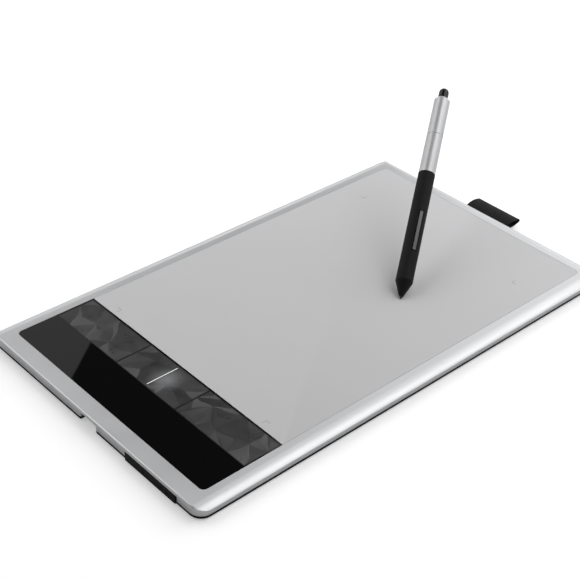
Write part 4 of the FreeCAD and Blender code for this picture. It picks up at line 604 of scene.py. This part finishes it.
def make_pen_loop():
    """The tape laid along its path, with its flat length and width in metres in its UV map."""
    low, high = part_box("pen_loop")
    points = loop_path(low, high)
    along = [0.0]
    for a, b in zip(points, points[1:]):
        along.append(along[-1] + (b - a).length)
    width = high.y - low.y
    rows = len(points) - 1
    bpy.ops.object.select_all(action="DESELECT")
    bpy.ops.mesh.primitive_grid_add(x_subdivisions=rows, y_subdivisions=TAPE_COLUMNS, size=1.0)
    loop = bpy.context.view_layer.objects.active
    loop.name = "woven_pen_loop"
    for corner in loop.data.uv_layers.active.data:
        row = round(corner.uv.x * rows)
        corner.uv = (along[row], corner.uv.y * width)
    for vertex in loop.data.vertices:
        row = round((vertex.co.x + 0.5) * rows)
        vertex.co = points[row] + Vector((0, low.y + (vertex.co.y + 0.5) * width, 0))
    apply_modifier(loop, "SOLIDIFY", thickness=TAPE, offset=0.0)
    apply_modifier(loop, "BEVEL", width=SELVEDGE, segments=2, limit_method="ANGLE",
                   angle_limit=math.radians(60))
    smooth(loop, 40)
    loop.data.materials.append(LOOKS["loop_fabric"])
    stand_for(loop, "pen_loop", "tablet")


make_pen_loop()

# The sheet's bevelled edge beside the keys, painted pale as a painted highlight on top of the
# light it catches, and the faint marks of its active area

CUT_EDGE = 0.45 * MM
MARK_ARM, MARK_STROKE, MARK_INK = 3.2 * MM, 0.45 * MM, 0.03 * MM
MARK_BEVEL = 0.01 * MM
AREA_FROM_KEYS, AREA_FROM_FAR_SIDE = 6.3 * MM, 45.1 * MM
AREA_HALF_DEPTH = 70.8 * MM


def make_sheet():
    """The drawing sheet with a small bevel along its edge at the keys, which catches light and is
    also painted pale, a painted highlight.
    """
    low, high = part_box("drawing_surface")
    sheet = copy_of("drawing_surface", "sheet_with_painted_edge_highlight")

    def on_edge(edge):
        ends = [sheet.data.vertices[v].co for v in edge.vertices]
        return all(abs(end.x - low.x) < NEARLY and abs(end.z - high.z) < NEARLY for end in ends)

    edit(sheet, on_edge, "EDGE")
    bpy.ops.mesh.bevel(offset=CUT_EDGE, segments=2)
    close_edit()
    # The bevel gets the paler finish, a painted highlight.
    sheet.data.materials.append(LOOKS["sheet_edge"])
    for face in sheet.data.polygons:
        slanted = 0.1 < face.normal.z < 0.99
        face.material_index = int(face.center.x < low.x + CUT_EDGE and slanted)
    smooth(sheet)
    stand_for(sheet, "drawing_surface", "tablet")
    return low, high


def make_area_marks(low, high):
    """Corner strokes of the active area, pointing outwards."""
    strokes = []
    area_x = (low.x + AREA_FROM_KEYS, high.x - AREA_FROM_FAR_SIDE)
    for side_x in (0, 1):
        for side_y in (-1, 1):
            corner = Vector((area_x[side_x], side_y * AREA_HALF_DEPTH, high.z))
            for run in (Vector((2 * side_x - 1, 0, 0)), Vector((0, side_y, 0))):
                middle = corner + run * MARK_ARM / 2
                bpy.ops.object.select_all(action="DESELECT")
                bpy.ops.mesh.primitive_cube_add(size=1.0, location=middle)
                item = bpy.context.view_layer.objects.active
                flat_size = [MARK_ARM if run[i] else MARK_STROKE for i in range(2)]
                item.scale = flat_size + [2 * MARK_INK]
                settle(item)
                apply_modifier(item, "BEVEL", width=MARK_BEVEL, segments=1)
                strokes.append(item)
    choose(*strokes)
    bpy.ops.object.join()
    marks = bpy.context.view_layer.objects.active
    marks.name = "area_marks"
    marks.data.materials.append(LOOKS["area_mark"])
    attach(marks, "tablet")


make_area_marks(*make_sheet())

# The camera, solved from the photograph's straight edges

camera_place = Vector((-481.793, -488.313, 494.813)) * MM
camera_angles = (43.05927, 35.00155, 1.91482)

camera = bpy.data.objects.new("camera", bpy.data.cameras.new("camera"))
bpy.context.collection.objects.link(camera)
camera.data.lens = 79.54288
camera.data.sensor_width = 36.0
camera.data.clip_start = 0.01
azimuth, elevation, roll = (math.radians(angle) for angle in camera_angles)
camera.matrix_world = (
    Matrix.Translation(camera_place)
    @ Matrix.Rotation(-azimuth, 4, "Z")
    @ Matrix.Rotation(math.pi / 2 - elevation, 4, "X")
    @ Matrix.Rotation(roll, 4, "Z")
)
bpy.context.scene.camera = camera

# Floor and surroundings

FLOOR_SIZE = 4.0
MIRRORED_SHARE = 0.1
NEAR_LIFT, FAR_LIFT = 0.4, 1.0
LIFT_START, LIFT_END = 0.6, 1.6


def paper_finish():
    """White paper that is lifted for the eye, less near the object, so that its shadow stays."""
    tree, shader, place = surface("floor_paper", (0.88, 0.88, 0.88), 0.9, patch=300 * MM,
                                  mottle=0.003)
    path = tree.nodes.new("ShaderNodeLightPath").outputs
    mirrored = calculate(tree, "MULTIPLY", path["Is Glossy Ray"], MIRRORED_SHARE)
    seen = calculate(tree, "MAXIMUM", path["Is Camera Ray"], mirrored)
    away = tree.nodes.new("ShaderNodeVectorMath")
    away.operation = "LENGTH"
    tree.links.new(place, away.inputs[0])
    white = spread(tree, away.outputs["Value"], NEAR_LIFT, FAR_LIFT, LIFT_START, LIFT_END)
    lift = calculate(tree, "MULTIPLY", seen, white)
    tree.links.new(lift, shader.inputs["Emission Strength"])
    set_sockets(shader, Emission_Color=(*WHITE, 1), Specular_IOR_Level=0.0)


def make_floor():
    paper_finish()
    bpy.ops.object.select_all(action="DESELECT")
    bpy.ops.mesh.primitive_plane_add(size=FLOOR_SIZE)
    floor = bpy.context.view_layer.objects.active
    floor.name = "floor"
    floor.data.materials.append(LOOKS["floor_paper"])


LOW_SKY, HIGH_SKY = (math.sin(math.radians(lift)) for lift in (20, 32))
CEILING = 0.03
BRIGHT_SIDE = math.radians(50)
DIM_SIDE = 0.2
SIDE_START, SIDE_END = 0.2, 0.6


def make_surroundings():
    """White for the eye. The object gets a bright low wall behind it and a dark ceiling."""
    world = bpy.data.worlds.new("studio")
    bpy.context.scene.world = world
    world.use_nodes = True
    tree = world.node_tree
    sky = tree.nodes["Background"]
    direction = tree.nodes.new("ShaderNodeTexCoord").outputs["Generated"]
    height = spread(tree, axes_of(tree, direction)["Z"], 1.0, CEILING, LOW_SKY, HIGH_SKY)
    ahead = tree.nodes.new("ShaderNodeVectorMath")
    ahead.operation = "DOT_PRODUCT"
    tree.links.new(direction, ahead.inputs[0])
    ahead.inputs[1].default_value = (math.cos(BRIGHT_SIDE), math.sin(BRIGHT_SIDE), 0.0)
    side = spread(tree, ahead.outputs["Value"], DIM_SIDE, 1.0, SIDE_START, SIDE_END)
    bright = calculate(tree, "MULTIPLY", height, side)
    seen = tree.nodes.new("ShaderNodeLightPath").outputs["Is Camera Ray"]
    tree.links.new(calculate(tree, "MAXIMUM", bright, seen), sky.inputs["Strength"])
    sky.inputs["Color"].default_value = (*WHITE, 1)


make_floor()
make_surroundings()

# Lamps

LAMPS = (
    # name, distance, turn and height angle in degrees, size, radiance
    ("right_softbox", 1.7, 0, 44, (2.2, 1.9), 1.15),
    ("key_lamp", 1.7, -8, 34, (0.9, 0.8), 1.2),
    ("back_softbox", 1.7, 112, 46, (1.6, 1.1), 1.6),
    ("front_softbox", 1.6, -55, 60, (1.3, 1.0), 1.5),
)


def softbox(name, place, size, radiance):
    """A rectangular lamp of this radiance that faces the object."""
    lamp = bpy.data.objects.new(name, bpy.data.lights.new(name, "AREA"))
    bpy.context.collection.objects.link(lamp)
    lamp.data.shape = "RECTANGLE"
    lamp.data.size, lamp.data.size_y = size
    lamp.data.energy = radiance * math.pi * size[0] * size[1]
    aim = (-place).to_track_quat("-Z", "Y").to_matrix().to_4x4()
    lamp.matrix_world = Matrix.Translation(place) @ aim
    lamp.visible_camera = False
    return lamp


def at_angles(distance, turn, lift):
    """A place seen from the object at this turn from +X towards +Y and this height angle."""
    turn, lift = math.radians(turn), math.radians(lift)
    flat = math.cos(lift)
    return distance * Vector((flat * math.cos(turn), flat * math.sin(turn), math.sin(lift)))


for name, distance, turn, lift, size, radiance in LAMPS:
    softbox(name, at_angles(distance, turn, lift), size, radiance)

# The card that the gloss strip mirrors. Its near edge runs through these two points, where the
# photograph's slanted reflection ends.

CARD_SIZE = (2.0, 0.5)
CARD_RADIANCE = 0.45

edge_start = Vector((0.7597, 1.5, 1.3055))
edge_end = Vector((0.7049, 1.5, 1.3756))
edge_run = (edge_end - edge_start).normalized()
inwards = Vector((-edge_run.z, 0.0, edge_run.x))
card_place = (edge_start + edge_end) / 2 + inwards * CARD_SIZE[1] / 2
card_turn = math.atan2(edge_run.z, edge_run.x)
card = softbox("reflected_card", card_place, CARD_SIZE, CARD_RADIANCE)
along_edge = Matrix.Rotation(-card_turn, 4, "Y")
face_front = Matrix.Rotation(-math.pi / 2, 4, "X")
card.matrix_world = Matrix.Translation(card_place) @ along_edge @ face_front

bpy.context.scene.view_settings.view_transform = "Standard"
